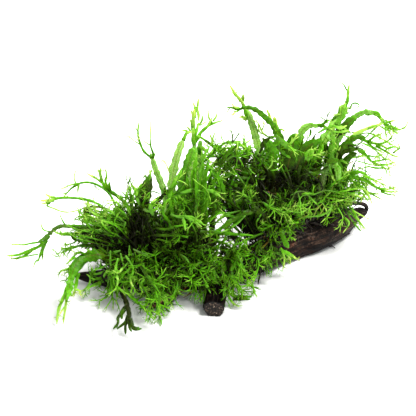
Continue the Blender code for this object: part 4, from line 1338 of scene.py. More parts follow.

# %% [markdown]
# Straps are the ribbons of the thicket that the eye can follow. Each row gives a strap's width in
# mm, its number of sprigs, its tone, how deep it starts and ends, and its line as it is seen.

# %% Straps, listed one by one
# Straps lighter in tone than this carry a painted sheen of this strength.
PAINTED_SHEEN_FROM = 0.62
PAINTED_SHEEN_SHARE = 0.15
LAID_LOOSE = 0.4
SPRIG_SIZE = 0.85
STRAPS = laid_out("""
left_upper:
2 2 .73 -26 -22 -64 -8 -72 -5 -80 -6 -88 -5 -96 0, 2.4 2 .68 -26 -24 -66 -10 -74 -9 -84 -8 -92 -10, 2.2 2 .63
-26 -26 -64 -14 -74 -13 -84 -12 -94 -16 -103 -14, 2.6 2 .68 -28 -26 -66 -18 -76 -18 -88 -20 -98 -22 -106 -24,
2 1 .58 -28 -26 -70 -22 -80 -23 -90 -24 -98 -28, 3 0 .2 -30 -28 -74 -25 -84 -29 -90 -33 -93 -35, 1.6 2 .83
-26 -22 -74 -4 -80 -1 -86 1 -94 1, 1.6 1 .89 -30 -26 -72 -20 -82 -24 -90 -25 -100 -27, 1.2 1 .73 -26 -22 -68
-2 -70 2 -72 4, 1.2 1 .73 -26 -22 -66 -2 -67 2 -66 5, 2 0 .9 -34 -32 -66 -11 -67 -16 -65 -21, 1.2 1 .83 -28
-26 -88 -18 -92 -13 -96 -9 -103 -9, 3 0 .55 -27 -24 -90 -12 -96 -6 -99 0, 1.8 2 .73 -30 -28 -78 -8 -86 -13
-94 -12, 1.6 2 .78 -30 -28 -76 -14 -86 -18 -95 -22 -104 -22, 1.8 3 .7 -30 -30 -66 -12 -76 -4 -86 0, 1.8 3 .68
-30 -30 -70 -16 -82 -10 -96 -8 -102 -4, 1.6 3 .74 -28 -28 -62 -6 -66 4 -64 16, 1.6 3 .68 -28 -28 -64 -8 -70 0
-74 6, 1.8 3 .63 -30 -32 -72 -22 -88 -18 -104 -18 -110 -14, 1.8 1 .1 -28 -24 -80 -1 -88 1 -95 1, 1.8 1 .12
-28 -26 -83 -7 -95 -4 -97 0, 1.1 2 .85 -24 -20 -58 12 -60 16 -62 20, 1.1 2 .8 -24 -20 -62 6 -63 12 -64 18
left_top:
1.6 2 .65 -26 -22 -60 -4 -61 6 -62 14 -64 21, 2.4 0 .8 -26 -20 -55 2 -57 9 -58 15 -61 19, 1.2 1 .5 -26 -24
-62 2 -64 9 -66 14, 1.2 1 .7 -26 -24 -60 0 -60 8 -59 14, 2.9 1 .85 -34 -30 -44 -6 -46 0 -44 5 -41 7, 2.2 1 .8
-34 -32 -52 -1 -47 -3 -42 -2, 3 0 .12 -24 -20 -42 2 -37 9 -30 15, 1 1 .5 -22 -20 -38 11 -43 13 -48 12, 3 0 .5
-30 -26 -60 -14 -63 -6 -62 0, 2 1 .55 -30 -28 -52 -12 -48 -6 -50 0, 7 0 .3 -22 -18 -50 2 -52 10 -51 17 -47
25, 2.2 1 .7 -24 -20 -54 8 -56 14 -53 20, 1.6 0 .8 -18 -17 -47 22 -46 27 -47 31
left_low:
1.6 1 .76 -44 -50 -78 -34 -78 -44 -77 -52 -80 -60, 1.9 1 .81 -44 -52 -78 -57 -88 -60 -94 -63 -98 -67, 1.6 1
.91 -42 -50 -93 -49 -94 -55 -95 -61 -100 -66 -106 -66, 2.2 1 .76 -42 -46 -70 -47 -80 -50 -90 -53 -93 -50, 1.8
3 .76 -46 -56 -79 -52 -80 -60 -80 -66 -81 -71 -88 -74, 1.8 3 .71 -46 -58 -78 -52 -77 -60 -76 -66 -77 -73, 1.6
2 .71 -46 -58 -78 -54 -75 -62 -74 -67 -72 -71, 2.4 1 .56 -44 -50 -74 -46 -70 -54 -68 -60 -66 -66, 2.4 0 .66
-36 -38 -70 -34 -80 -37 -88 -40, 2 0 .95 -50 -58 -77 -50 -72 -57 -67 -64 -63 -69, 1.7 0 .95 -50 -58 -58 -54
-60 -62 -63 -70, 1.4 0 .95 -52 -56 -60 -61 -66 -64 -70 -66, 1.6 2 .75 -44 -52 -78 -50 -84 -55 -91 -57 -97
-53, 1.5 2 .8 -44 -52 -76 -46 -82 -52 -86 -60 -92 -63, 1.4 1 .7 -44 -50 -78 -44 -86 -48 -92 -50
left_front:
1.5 1 .81 -44 -54 -70 -36 -68 -44 -65 -50 -62 -58 -61 -68, 1.4 0 .81 -42 -50 -63 -30 -63 -38 -63 -46 -64 -56,
1.8 1 .86 -50 -58 -60 -58 -64 -62 -66 -66, 1.4 1 .76 -48 -56 -62 -56 -55 -57 -50 -59 -47 -61, 2.2 1 .71 -42
-44 -60 -33 -54 -36 -49 -38 -45 -43, 1.4 1 .71 -42 -44 -58 -44 -53 -41 -48 -38, 2.8 0 .36 -48 -54 -60 -62 -56
-66 -52 -70, 2 3 .66 -50 -70 -44 -56 -44 -66 -46 -76 -45 -84 -48 -92, 1.8 3 .66 -50 -70 -48 -60 -49 -70 -50
-78 -56 -81, 1.8 3 .71 -50 -72 -42 -60 -40 -70 -41 -80 -38 -88 -37 -94, 1.6 3 .66 -50 -70 -38 -64 -36 -74 -34
-80 -30 -83, 1.4 2 .71 -50 -62 -36 -60 -40 -65 -38 -71 -35 -72, 1.4 1 .71 -50 -62 -36 -60 -33 -65 -34 -70,
1.8 3 .66 -50 -66 -46 -56 -40 -66 -34 -74 -28 -76, 1.6 2 .61 -42 -50 -50 -44 -44 -50 -38 -54 -30 -57, 2 2 .8
-50 -68 -72 -40 -74 -50 -72 -58 -74 -66, 1.8 2 .85 -50 -66 -66 -38 -60 -48 -62 -58 -58 -66, 1.8 2 .75 -50 -64
-56 -40 -52 -50 -46 -56 -40 -58, 1.8 2 .8 -50 -66 -52 -44 -50 -54 -54 -62 -52 -68, 1.6 2 .85 -50 -64 -62 -42
-68 -48 -72 -52 -76 -50, 1.8 2 .7 -50 -70 -40 -52 -36 -60 -36 -70 -32 -78
middle_front:
2.4 3 .65 -46 -64 -10 -54 -8 -60 -6 -66 -5 -72 -7 -75, 1.8 2 .65 -46 -62 -8 -54 -3 -60 0 -64 2 -68, 1.5 2 .7
-44 -56 -6 -48 0 -52 4 -58 8 -60, 1.5 2 .7 -44 -56 2 -44 6 -52 10 -58, 1.6 3 .6 -46 -60 -20 -52 -22 -60 -24
-66 -22 -70, 1.6 3 .6 -46 -58 -26 -50 -26 -58 -28 -64, 1.6 2 .6 -44 -56 -16 -48 -14 -56 -12 -62, 2.2 2 .55
-38 -46 -46 -22 -36 -22 -26 -22 -16 -23, 2 2 .5 -38 -46 -40 -30 -34 -28 -28 -26 -20 -27, 1.6 2 .6 -40 -48 -38
-36 -34 -30 -33 -24, 2.2 2 .55 -38 -46 -10 -36 -2 -40 6 -44 12 -45, 1.8 1 .7 -38 -46 0 -30 2 -38 4 -46, 1.6 2
.65 -40 -48 -24 -36 -18 -40 -14 -46, 1.6 2 .6 -40 -48 -30 -38 -36 -42 -40 -48, 2.2 3 .6 -26 -24 2 -38 8 -30
16 -24, 2 3 .65 -26 -22 22 -38 16 -30 6 -25, 2.2 2 .5 -24 -20 10 -40 12 -32 12 -26, 2 2 .6 -24 -20 18 -36 22
-28 26 -22
middle_top:
2.4 1 .7 -36 -44 -30 -5 -24 -7 -16 -7 -8 -10 -3 -14, 2.2 0 .75 -40 -46 -20 -7 -19 -12 -18 -18, 2 1 .75 -40
-46 -18 -8 -12 -10 -5 -15, 2 1 .6 -38 -44 -42 -16 -34 -17 -26 -15 -16 -13, 2.9 1 .6 -26 -20 -32 12 -26 20 -21
30, 2.6 1 .65 -26 -24 -22 12 -14 14 -6 14, 2 1 .55 -22 -16 -8 8 -4 16 0 24 3 30, 2.9 1 .75 -18 -18 -2 15 4 13
10 9, 2.9 1 .66 -12 -10 5 24 4 29 3 34, 2 2 .45 -28 -24 -36 -8 -30 0 -22 4 -14 4, 2.4 1 .6 -30 -26 -30 -12
-36 -4 -34 4 -30 8, 2 2 .5 -30 -26 -16 -10 -10 -2 -4 2 4 4, 2 2 .5 -28 -24 -12 0 -8 8 -2 12, 3 0 .35 -26 -20
-16 0 -16 14 -17 26, 3 0 .5 -26 -20 -8 4 -12 18 -13 30, 3 2 .5 -20 -16 -4 -12 -2 2 1 18, 3.2 2 .52 -18 -12 4
-8 5 8 3 24, 2.8 2 .45 -14 -8 8 -2 9 14 8 30, 3.2 2 .58 -12 -6 2 10 6 24 12 36, 2.8 2 .6 -12 -6 14 8 10 22 2
34, 2.4 3 .62 -16 -10 10 22 4 30 -4 36, 2.2 2 .4 -18 -14 -6 -16 0 -6 4 4, 4 1 .62 -20 -14 -14 0 -12 20 -9 44,
3 2 .66 -18 -12 -2 10 -4 28 -5 46, 2.4 3 .68 -18 -12 -8 24 -4 40 2 50
between_crowns:
2.6 1 .6 -30 -22 -8 -19 2 -19 12 -20 22 -21 36 -22, 1.6 1 .6 -16 -24 26 -2 18 -4 10 -4 4 -8 1 -12, 1.4 1 .65
-20 -28 30 -6 24 -12 16 -17 10 -20, 1.8 2 .6 -18 -26 44 -20 34 -24 26 -28 18 -30, 2.6 0 .64 0 2 10 22 16 26
22 30, 1.6 1 .55 2 4 -5 40 5 41 14 41 22 43, 2 1 .6 6 8 10 36 22 42 32 48, 1.6 3 .75 -8 -16 38 2 32 8 28 12
30 18, 1.4 2 .8 -8 -16 36 0 33 10 35 18, 2 1 .64 6 8 20 25 30 24 38 24 41 28, 1 0 .9 2 0 32 33 35 29 38 27,
2.2 2 .4 2 4 30 14 20 16 10 12 2 10, 1.6 2 .5 0 2 28 20 18 20 8 18 0 20, 1.8 2 .5 6 8 34 30 24 36 12 34 4 30,
1.6 2 .6 8 8 30 38 20 34 10 30 0 32, 1.6 2 .65 10 10 36 40 28 50 20 52 10 52, 1.4 2 .6 10 8 30 44 22 48 12 47
2 43, 3.5 2 .62 -10 -6 10 36 16 44 24 50 30 49, 4 2 .58 -10 -6 8 34 18 42 28 44, 2.2 3 .55 -10 -8 -2 54 6 48
14 42, 2 3 .62 -10 -6 4 44 14 52 26 53, 5 1 .3 -4 -2 12 30 20 38 30 36, 2.8 2 .66 -10 -6 14 38 20 42 27 41,
3.5 2 .5 -8 -4 0 30 8 38 12 46, 3.5 2 .45 -6 -2 4 24 14 32 22 46, 2.6 3 .6 -12 -8 -4 36 2 42 8 50, 4 2 .5 0 4
26 34 32 42 34 50, 4 1 .4 4 10 34 20 37 28 38 36, 3 2 .6 -4 0 30 36 31 44 28 52, 4 1 .5 -14 -8 1 -6 2 10 2
30, 3.5 1 .45 -12 -8 -2 0 0 16 4 32
trunk_top:
2.4 0 .4 10 14 41 44 47 54 52 57 57 59, 2.2 2 .64 6 10 50 56 58 52 66 47 72 46, 2.2 1 .55 8 12 44 56 46 48 42
40, 2.2 1 .6 4 8 49 53 55 46 58 38, 2.4 0 .5 6 10 52 52 60 44 66 40, 2 1 .6 2 6 50 46 44 38 40 33, 1 0 .95 0
0 50 30 56 31 60 35, 1 0 .9 0 0 51 40 51 35 48 31, 8 0 .3 22 26 62 24 64 36 62 48, 8 0 .3 22 28 66 26 70 40
72 54, 8 0 .3 26 30 76 28 80 42 84 52, 6 0 .35 26 32 84 26 88 40 92 54, 3 1 .45 12 14 74 34 72 26 74 18, 3 1
.5 12 12 80 32 78 24 74 20, 2 1 .5 14 14 96 33 90 30 84 28 78 29, 1.2 1 .5 10 8 100 27 90 28 80 26, .95 2 .71
4 -4 103 13 94 14 85 11 76 10 72 4 70 0, .95 2 .65 0 -4 70 12 66 5 62 -2, 1.22 2 .69 0 -4 72 12 74 4 74 -5,
1.36 2 .75 -2 -6 60 0 68 -3 76 -3 82 1, 1.5 3 .65 -2 -8 45 8 52 1 60 -3 68 -3, 1.77 2 .6 -4 -10 34 2 42 5 50
0 57 -4, 1.77 2 .5 2 -2 38 14 46 13 52 10 58 7, .68 0 .95 -2 -4 44 14 47 12 50 9, 1.36 2 .7 4 0 78 12 84 6 88
2, 1.36 2 .65 4 0 80 13 72 13 66 10, 1.63 0 .71 0 -6 70 -7 80 -7 90 -6 97 -2 99 3, 1.09 1 .75 -2 -6 73 8 74 0
75 -6, .95 2 .8 -4 -8 62 -8 65 -17 65 -24, 1.36 1 .55 8 8 68 18 62 12 56 12, 2 1 .5 8 8 84 20 78 16 70 18, 5
1 .62 4 8 50 44 52 50 57 54 55 58, 3.6 1 .66 4 6 54 58 60 53 66 48 70 46, 11 0 .4 14 18 63 28 65 38 68 48 69
59, 9 0 .42 15 19 70 30 74 40 80 49 90 55, 6.5 1 .72 12 14 79 38 81 43 84 47, 3.6 1 .6 12 18 84 38 89 44 92
51, 3 0 .3 8 12 43 46 44 52 49 56 54 57, 1 2 .95 6 0 52 8 50 4 49 -2, 1 2 .8 6 -2 78 8 76 2 77 -6, 1 1 .9 6 0
64 6 60 0 58 -2, 1.1 2 .9 8 0 90 6 94 0 95 -5, 1 2 .85 8 0 86 8 82 2 80 -4, 1 1 .8 2 -6 100 2 96 -6 90 -12, 1
2 .9 2 -6 104 0 108 -8 104 -16
right_upper:
1.6 0 .35 30 32 82 52 85 57 87 61, 2.2 2 .75 26 28 88 60 95 64 103 66 110 63 110 61 103 59, 2.2 1 .6 30 32 90
64 94 69 99 71, 2.9 2 .65 32 32 99 70 105 75 113 76, 3.2 1 .7 26 28 100 34 103 44 103 54 106 62, 2.9 1 .6 28
30 98 34 97 46 100 58, 2 0 .15 30 32 94 36 96 44 95 52, 5 0 .3 26 24 102 40 108 48 117 51, 4 0 .35 24 22 102
36 108 44 116 47 124 47, 1.6 1 .85 22 20 103 34 103 42 106 49, 2 1 .7 22 20 100 34 106 38 112 35, 1.68 1 .55
20 14 103 30 98 20 96 11, 1.3 1 .72 18 10 100 27 99 18 105 12 112 9, 1.3 3 .72 20 8 108 28 111 18 113 10 112
2, 1.3 2 .72 20 10 113 26 115 14 113 5, .98 2 .8 18 10 104 20 110 14 117 10, 1.3 2 .62 18 12 106 28 114 22
122 20, 1.4 2 .65 16 8 106 18 116 10 124 8, 1.12 2 .7 16 8 108 14 120 16 130 12, 1.4 2 .45 18 12 96 22 104 20
110 22, 1.26 2 .6 12 6 96 9 104 12 112 9, 1.56 2 .57 24 18 106 34 114 27 122 25, 4.3 1 .7 18 24 99 34 99 46
100 56 101 66, 8 0 .4 26 30 101 58 107 63 112 68 118 73, 6.5 2 .68 24 30 103 66 106 72 107 78 110 84, 5.5 0
.5 12 14 95 36 100 38 104 35 105 29 103 21, 1.54 1 .72 10 12 97 35 98 29 100 24, 2.6 0 .8 22 24 100 66 106 64
111 66, 2.2 0 .8 22 24 100 61 107 61 113 62, 4.5 1 .45 20 20 104 44 108 48 113 50 119 50, 3.5 1 .4 20 18 105
42 110 46 116 47 122 47 127 43, 2.4 1 .57 16 12 105 29 112 27 118 24 124 22, 6.5 1 .4 34 40 52 20 50 35 47
52, 7 1 .42 36 42 85 20 86 35 84 52, 6 1 .42 34 40 76 20 78 38 74 54, 6 1 .38 30 38 58 20 60 38 64 54, 6 1
.45 36 42 68 22 70 40 72 56, 5 1 .4 30 36 44 20 42 32 36 44, 6 1 .4 38 44 94 22 96 38 92 54, 1.5 4 .8 44 50
120 50 132 62 142 70 150 62, 1.5 4 .8 44 50 112 54 126 60 138 56 152 47, 1.3 4 .8 40 46 110 46 122 52 134 46
142 38 146 27, 1.4 3 .8 40 46 118 38 134 34 144 34 142 27, 1.3 4 .8 36 42 108 28 122 28 134 22 150 14, 1.3 3
.85 44 50 128 64 136 66 144 62 152 65, 1.4 3 .75 40 46 104 34 116 40 128 42 136 40, 5 1 .45 30 36 42 18 40 30
38 46, 6 1 .42 36 42 82 18 88 30 86 46, 5 1 .45 36 42 80 24 80 36 82 48, 5 1 .4 30 36 50 22 44 32 40 40, 4 2
.5 40 44 96 28 100 40 99 54, 1.1 3 .85 20 12 100 10 106 4 108 -2, 1.1 3 .8 22 14 94 18 100 12 106 8, 1.1 3
.85 24 16 98 24 106 20 114 14, 1 3 .9 20 12 90 12 96 8 100 0
by_the_stub:
1.4 3 .75 -26 -34 20 -36 26 -33 31 -30, 1.4 3 .75 -28 -40 26 -36 22 -42 16 -46, 1.6 3 .65 -36 -52 20 -46 17
-56 13 -64 12 -74, 1.6 3 .65 -36 -50 22 -46 22 -56 20 -66 23 -76, 1.5 2 .65 -34 -44 24 -54 30 -60 36 -63 41
-64, 1.5 2 .6 -34 -44 22 -58 28 -66 36 -67, 1.6 2 .6 -30 -40 28 -44 26 -52 28 -58
trunk_front:
1.27 1 .7 -14 -20 50 -30 60 -35 69 -40, 1.19 1 .66 -14 -20 50 -31 51 -40 51 -49 51 -55, 1.19 1 .7 -14 -20 49
-30 45 -38 42 -42 38 -37, 1.19 1 .6 -14 -18 50 -30 44 -26 38 -28, 1.1 1 .7 -12 -16 50 -28 54 -25 56 -22, 1.19
2 .66 -14 -20 51 -31 58 -42 62 -49, 1 1 .7 -14 -20 52 -32 58 -37 64 -41, 1.2 2 .75 -14 -20 46 -26 52 -36 58
-38 64 -44
right_end:
1.8 1 .7 24 4 106 6 112 -2 118 -8 126 -17, 1.6 1 .75 20 4 110 0 114 -8 120 -16 123 -19, 1.4 1 .85 18 4 102 2
108 -6 113 -12 108 -20, 2 1 .6 20 4 98 6 106 -4 112 -11
left_end:
1.5 2 .79 -30 -34 -94 -24 -105 -24 -110 -20 -120 -20, 1.4 2 .84 -30 -34 -104 -25 -108 -28 -117 -30, 1.5 3 .89
-34 -36 -101 -29 -106 -31 -112 -33 -117 -36 -119 -41, 1.3 2 .84 -34 -36 -108 -30 -112 -32 -118 -33, 1.3 2 .74
-32 -34 -92 -20 -100 -18 -108 -16 -113 -14, 1.4 3 .74 -32 -34 -86 -14 -94 -12 -100 -6 -104 -2, 1.4 3 .79 -32
-34 -84 -8 -92 -4 -96 0 -97 5
""")

# %% [markdown]
# A few small ribbons have withered to red-brown or straw. Each row gives a ribbon's width in mm,
# how brown it is, its tone, how deep it starts and ends, and its line as it is seen.

# %% Withered ribbons, listed one by one
WITHERED = laid_out("""
left_top:
1.6 .8 .1 -22 -20 -56 4 -56 8 -55 12, 1 .6 .6 -24 -20 -65 14 -64 17 -66 20
left_upper:
1.4 .7 .5 -28 -24 -98 -10 -99 -5 -99 1, 1 .5 .8 -28 -24 -70 -8 -73 -4 -74 1
middle_top:
1.2 .5 1 -24 -20 -31 28 -33 34 -36 38 -39 36
trunk_top:
1.2 .4 1 4 0 85 -6 87 -1 91 3, 1 .4 1 4 0 88 -7 91 -3 93 1, 1 .7 .5 8 6 46 16 50 12 58 11, 1 .6 .7 4 -4 70
-12 74 -8 80 -6
right_upper:
1.2 .8 .4 36 40 108 31 112 35 117 38, 1 .6 .7 24 20 92 30 95 34 98 39, 1 .6 .7 20 16 84 22 90 26 96 27
middle_front:
1 .8 .3 -40 -48 -14 -58 -18 -64 -25 -70, 1 .8 .3 -42 -50 -8 -58 -12 -66 -20 -72
left_front:
1 .7 .5 -48 -56 -66 -58 -70 -63 -72 -69
""")

# %% [markdown]
# A small frond is a narrow ribbon that bows upwards from its foot to its tip, with sprigs along its
# outer part and one at its end. At the heart of a spray the fronds are shorter and painted dark, as
# painted shade, and most are bare, because hardly anything of them is seen.

# %% Small fronds
WITHERED_REACH = 16 * MM
WITHERED_SHARE = 0.03
SMALL_SPRIG = 0.8


def crosses_gap(line):
    """Whether the outer part of a line is seen in a gap."""
    return any(in_gap(point) for point in line[len(line) // 3:])


def small_frond(rng, start, end, size, tone, twigs, crest=True):
    """Ribbon and seats of one small frond from its foot to its tip."""
    reach = np.linalg.norm(end - start)
    middle = (start + end) / 2 + ABOVE * reach * rng.uniform(0.0, 0.3)
    middle = middle + (RIGHT * rng.uniform(-0.4, 0.4) + BACK * rng.uniform(-0.3, 0.3)) * reach
    line = smooth([start, middle, end], reach / 9)
    count = len(line)
    width = rng.uniform(0.5, 1.0) * size
    half = spread(count, ((0, 0.4), (0.3, 0.6), (0.6, width), (0.85, 0.75), (1, 0.35))) * MM
    side = side_to_viewer(line, 0.8 * askew(rng))
    # Painted shade: each small frond is painted darker towards its foot, deep in the thicket.
    tones = tone + np.linspace(-0.34, -0.02, count)
    brown = 0.4 if rng.random() < WITHERED_SHARE and reach < WITHERED_REACH else 0.0
    ribbon = strand(line, side, half, np.maximum(half * 0.2, 0.12 * MM),
                    np.linspace(0, 0.6, count), tones, brown, seed=rng.random())
    seats = sprigs_on(rng, ribbon, twigs, size * SMALL_SPRIG, 0.4)
    if crest:
        seats.append(seat(line[-1], line[-1] - line[-2], ribbon["up"][-1],
                          size * rng.uniform(0.7, 1.0), tone, rng))
    return ribbon, seats


# %% Sprays of small fronds
HEART_REACH = 0.7
# Tone of the fronds at a spray's heart: painted shade.
HEART_SHADE_TONE = 0.1
HEART_DEPTH = 5.0
YOUNG_SHARE = 0.14
YOUNG_TONE = 0.16
REACH = 0.7 * SPRIG_LENGTH * MM


def jittered(rng, place, sides, depth):
    """Point near a place as it is seen."""
    return seen(*[part + rng.gauss(0, by) for part, by in zip(place, (sides, sides, depth))])


def spray(rng, row):
    """Small fronds of one bundle, with shorter ones at its heart painted dark as shade."""
    count, size, tone, wide = row[:4]
    foot, tip = np.array(row[4:7]), np.array(row[7:])
    strands, seats = [], []
    for k in range(2 * int(count)):
        heart = k % 2
        start = jittered(rng, foot, 3, 3)
        short = rng.uniform(0.6, 1.0) * (HEART_REACH if heart else 1.0)
        aim = foot + (tip - foot) * short + np.array([0, 0, HEART_DEPTH * heart])
        end = jittered(rng, aim, wide * 0.7, wide * 0.6)
        # Heart fronds take the dark tone of painted shade, the others their row's tone.
        shade = (HEART_SHADE_TONE if heart else tone) + rng.uniform(-0.18, 0.16)
        if not room_at(end):
            continue
        ribbon, more = small_frond(rng, start, end, size, shade, 0 if heart else 1 + k % 4 // 2,
                                   not heart or k % 4 == 3)
        if crosses_gap(ribbon["line"]):
            continue
        clear = REACH * (2.0 if heart else 1.0)
        more = [one for one in more if room_at(one["place"] + one["toward"] * one["size"] * clear)]
        if not heart and rng.random() < YOUNG_SHARE:
            for one in more:
                one["tone"] += YOUNG_TONE
        strands.append(ribbon)
        seats += more
    return strands, seats


# %% Straps and old blades
STRAP_SHAPE = ((0, 0.3), (0.2, 0.42), (0.55, 0.5), (0.85, 0.36), (1, 0.12))


def strap(rng, line, width, tone, pale=0.0, loose=1.0):
    """Ribbon with a wavy width and a slow twist, more of it the looser it hangs."""
    count = len(line)
    half = spread(count, STRAP_SHAPE) * width * MM * ragged(rng, count, 0.22)
    side = unit(side_to_viewer(line, 0.6 * loose * askew(rng)))
    twist = 1.3 * loose * rng.uniform(-1, 1) * np.linspace(0, 1, count)[:, None]
    side = side * np.cos(twist) + np.cross(tangents(line), side) * np.sin(twist)
    tones = tone + np.linspace(-0.14, 0.06, count)
    return strand(line, side, half, 0.14 * MM, np.linspace(0, 0.8, count), tones, 0.0, pale,
                  rng.random())


def shade_fill_blades(rng, row):
    """Broad blades, dark as painted shade, that fill the space behind."""
    count, width, tone, wide = row[:4]
    foot, tip = np.array(row[4:7]), np.array(row[7:])
    strands = []
    for _ in range(int(count)):
        start = jittered(rng, foot, 4, 3)
        end = jittered(rng, foot + (tip - foot) * rng.uniform(0.5, 1.0), wide, wide)
        sway = RIGHT * rng.uniform(-0.3, 0.3) + BACK * rng.uniform(-0.2, 0.2)
        sway = sway + ABOVE * rng.uniform(-0.05, 0.25)
        line = smooth([start, (start + end) / 2 + sway * np.linalg.norm(end - start), end], 2.2 * MM)
        broad = width * rng.uniform(0.6, 1.2)
        if room_at(end) and not crosses_gap(line):
            strands.append(strap(rng, line, broad, tone + rng.uniform(-0.14, 0.14)))
    return strands


def laid_strap(rng, row):
    """Strap laid out as listed, with its sprigs."""
    width, twigs, tone, b0, b1, *places = row
    spots = spots_of(places)
    line = sheet_line(spots, np.linspace(b0, b1, len(spots)), 1.6 * MM)
    ribbon = strap(rng, line, width, tone, PAINTED_SHEEN_SHARE if tone > PAINTED_SHEEN_FROM else 0.0, LAID_LOOSE)
    size = SPRIG_SIZE * min(1.0, 0.45 + 0.28 * width)
    return ribbon, sprigs_on(rng, ribbon, int(twigs), size, 0.35)


def withered(rng, row):
    """Bare withered ribbon, laid out as listed."""
    width, brown, tone, *rest = row
    ribbon = laid_strap(rng, [width, 0, tone, *rest])[0]
    ribbon["brown"] = np.full(len(ribbon["line"]), brown)
    return ribbon


# %% Make the tufts
RIBBON_TONE_LEAST = 0.02
SPRIG_TONE_LEAST = 0.1
SPRIG_TONE_MOST = 0.8


def make_tuft(tuft):
    """Finished tuft of small fronds for one solid."""
    node = "small_fronds_" + tuft
    rng = random.Random(node)
    strands, seats = [], []
    for row in SPRAYS[tuft]:
        more_strands, more_seats = spray(rng, row)
        strands += more_strands
        seats += more_seats
    for row in SHADE_FILL_BLADES.get(tuft, ()):
        strands += shade_fill_blades(rng, row)
    for row in STRAPS.get(tuft, ()):
        ribbon, more_seats = laid_strap(rng, row)
        strands.append(ribbon)
        seats += more_seats
    strands += [withered(rng, row) for row in WITHERED.get(tuft, ())]
    # Painted shade and painted light by place, on every ribbon and then on every sprig; where painted light
    # lifts a sprig, its highest tone is lifted too.
    for ribbon in strands:
        darker = np.array([painted_shade_at(point) for point in ribbon["line"]])
        ribbon["tone"] = np.maximum(ribbon["tone"] - darker, RIBBON_TONE_LEAST)
    for one in seats:
        shade = painted_shade_at(one["place"])
        one["tone"] = min(max(one["tone"] - shade, SPRIG_TONE_LEAST), SPRIG_TONE_MOST - min(shade, 0))
    mesh = grown_mesh(node + "_leaves", strands, seats, SPRIGS, SMALL_FROND, 8, 0.8, 1.2)
    return finish_piece(node + "_leaves", mesh, "small_fronds", node)


faces = sum(len(make_tuft(tuft).data.polygons) for tuft in sorted(SPRAYS))
print("small fronds:", faces, "faces")

# %% [markdown]
# ## Driftwood
# The wood is one dark, water-worn branch. Its solids give each limb's course and girth, and the
# bark is cut into them: fissures that run lengthwise, with finer grain in between. A bump in the
# material could draw them too, but the limb's outline would stay smooth, so a limb is made again as
# a fine tube and the bark is real relief.

# %% Bark tree
BARK_FOLDS = ((1.6, 14.0, 0.5, 1.5), (4.5, 24.0, 0.5, 1.0), (10.0, 40.0, 0.4, 1.0))


def bark_noise(tree, around, along, detail, rough=0.5):
    """Noise on the bark, by how many lumps it has around and along the limb."""
    turn = named(tree, "turn") * (2 * math.pi)
    place = combined(turn.math("COSINE") * around, turn.math("SINE") * around,
                     named(tree, "run") * along)
    return noise_at(place, 1.0, detail, rough)


def bark_height(tree, relief):
    """Height of the bark: deep lengthwise fissures, finer grain and lumps."""
    height = None
    for around, along, depth, sharp in BARK_FOLDS:
        fold = abs(bark_noise(tree, around, along, 3.0) - 0.5)
        part = (0.6 - (1.0 - fold * 3.2) ** sharp) * depth
        height = part if height is None else height + part
    return height * relief


def build_bark_tree():
    """Geometry Nodes tree that cuts bark into a smooth limb and keeps it above the floor."""
    tree, given, output = new_tree(
        "Bark", "GeometryNodeTree",
        (("Geometry", "Geometry"), ("Relief", "Float", 1.0 * MM), ("Material", "Material")),
        (("Geometry", "Geometry"),))
    height = bark_height(tree, given["Relief"])
    normal = output_of(tree, "GeometryNodeInputNormal")
    bark = stored(given["Geometry"], "relief", height)
    bark = moved(bark, "Offset", scaled(normal, height * named(tree, "soft")))
    x, y, z = place_parts(tree)
    bark = moved(bark, "Position", combined(x, y, z.math("MAXIMUM", 0.0)))
    feed(output, {0: painted(bark, given["Material"])})
    return tree


BARK_TREE = build_bark_tree()

# %% [markdown]
# Wet bark is nearly black in its fissures and grey-brown on its ridges, with red-brown patches
# where the skin is gone, joints across the grain, and a few pale spots that are painted glints of
# light. The ramp reads the height that the tree stored, so colour and relief agree. The upper flanks
# are painted paler and the underside painted darker, as painted light and shade.

# %% Bark material
BARK_COLOURS = ((0.1, (0.0012, 0.0007, 0.0006)), (0.45, (0.009, 0.005, 0.0038)),
                (0.65, (0.028, 0.017, 0.014)), (0.85, (0.065, 0.044, 0.038)),
                (1.0, (0.11, 0.08, 0.072)))
# Painted light and shade: a factor by how high around the limb a point is, paler on the upper flanks and
# darker underneath.
PAINTED_LIGHT_BAND = ((0.0, (0.16, 0.14, 0.13)), (0.4, (0.4, 0.36, 0.33)), (0.6, (0.95, 0.85, 0.78)),
            (0.76, (1.6, 1.45, 1.35)), (0.9, (1.2, 1.08, 1.0)), (1.0, (0.6, 0.58, 0.56)))
WORN_RED = (0.035, 0.011, 0.005, 1)


def multiplied(colour, by):
    """Colour times another, or times a number."""
    return mix_colour(colour.tree, 1.0, colour, by, "MULTIPLY")


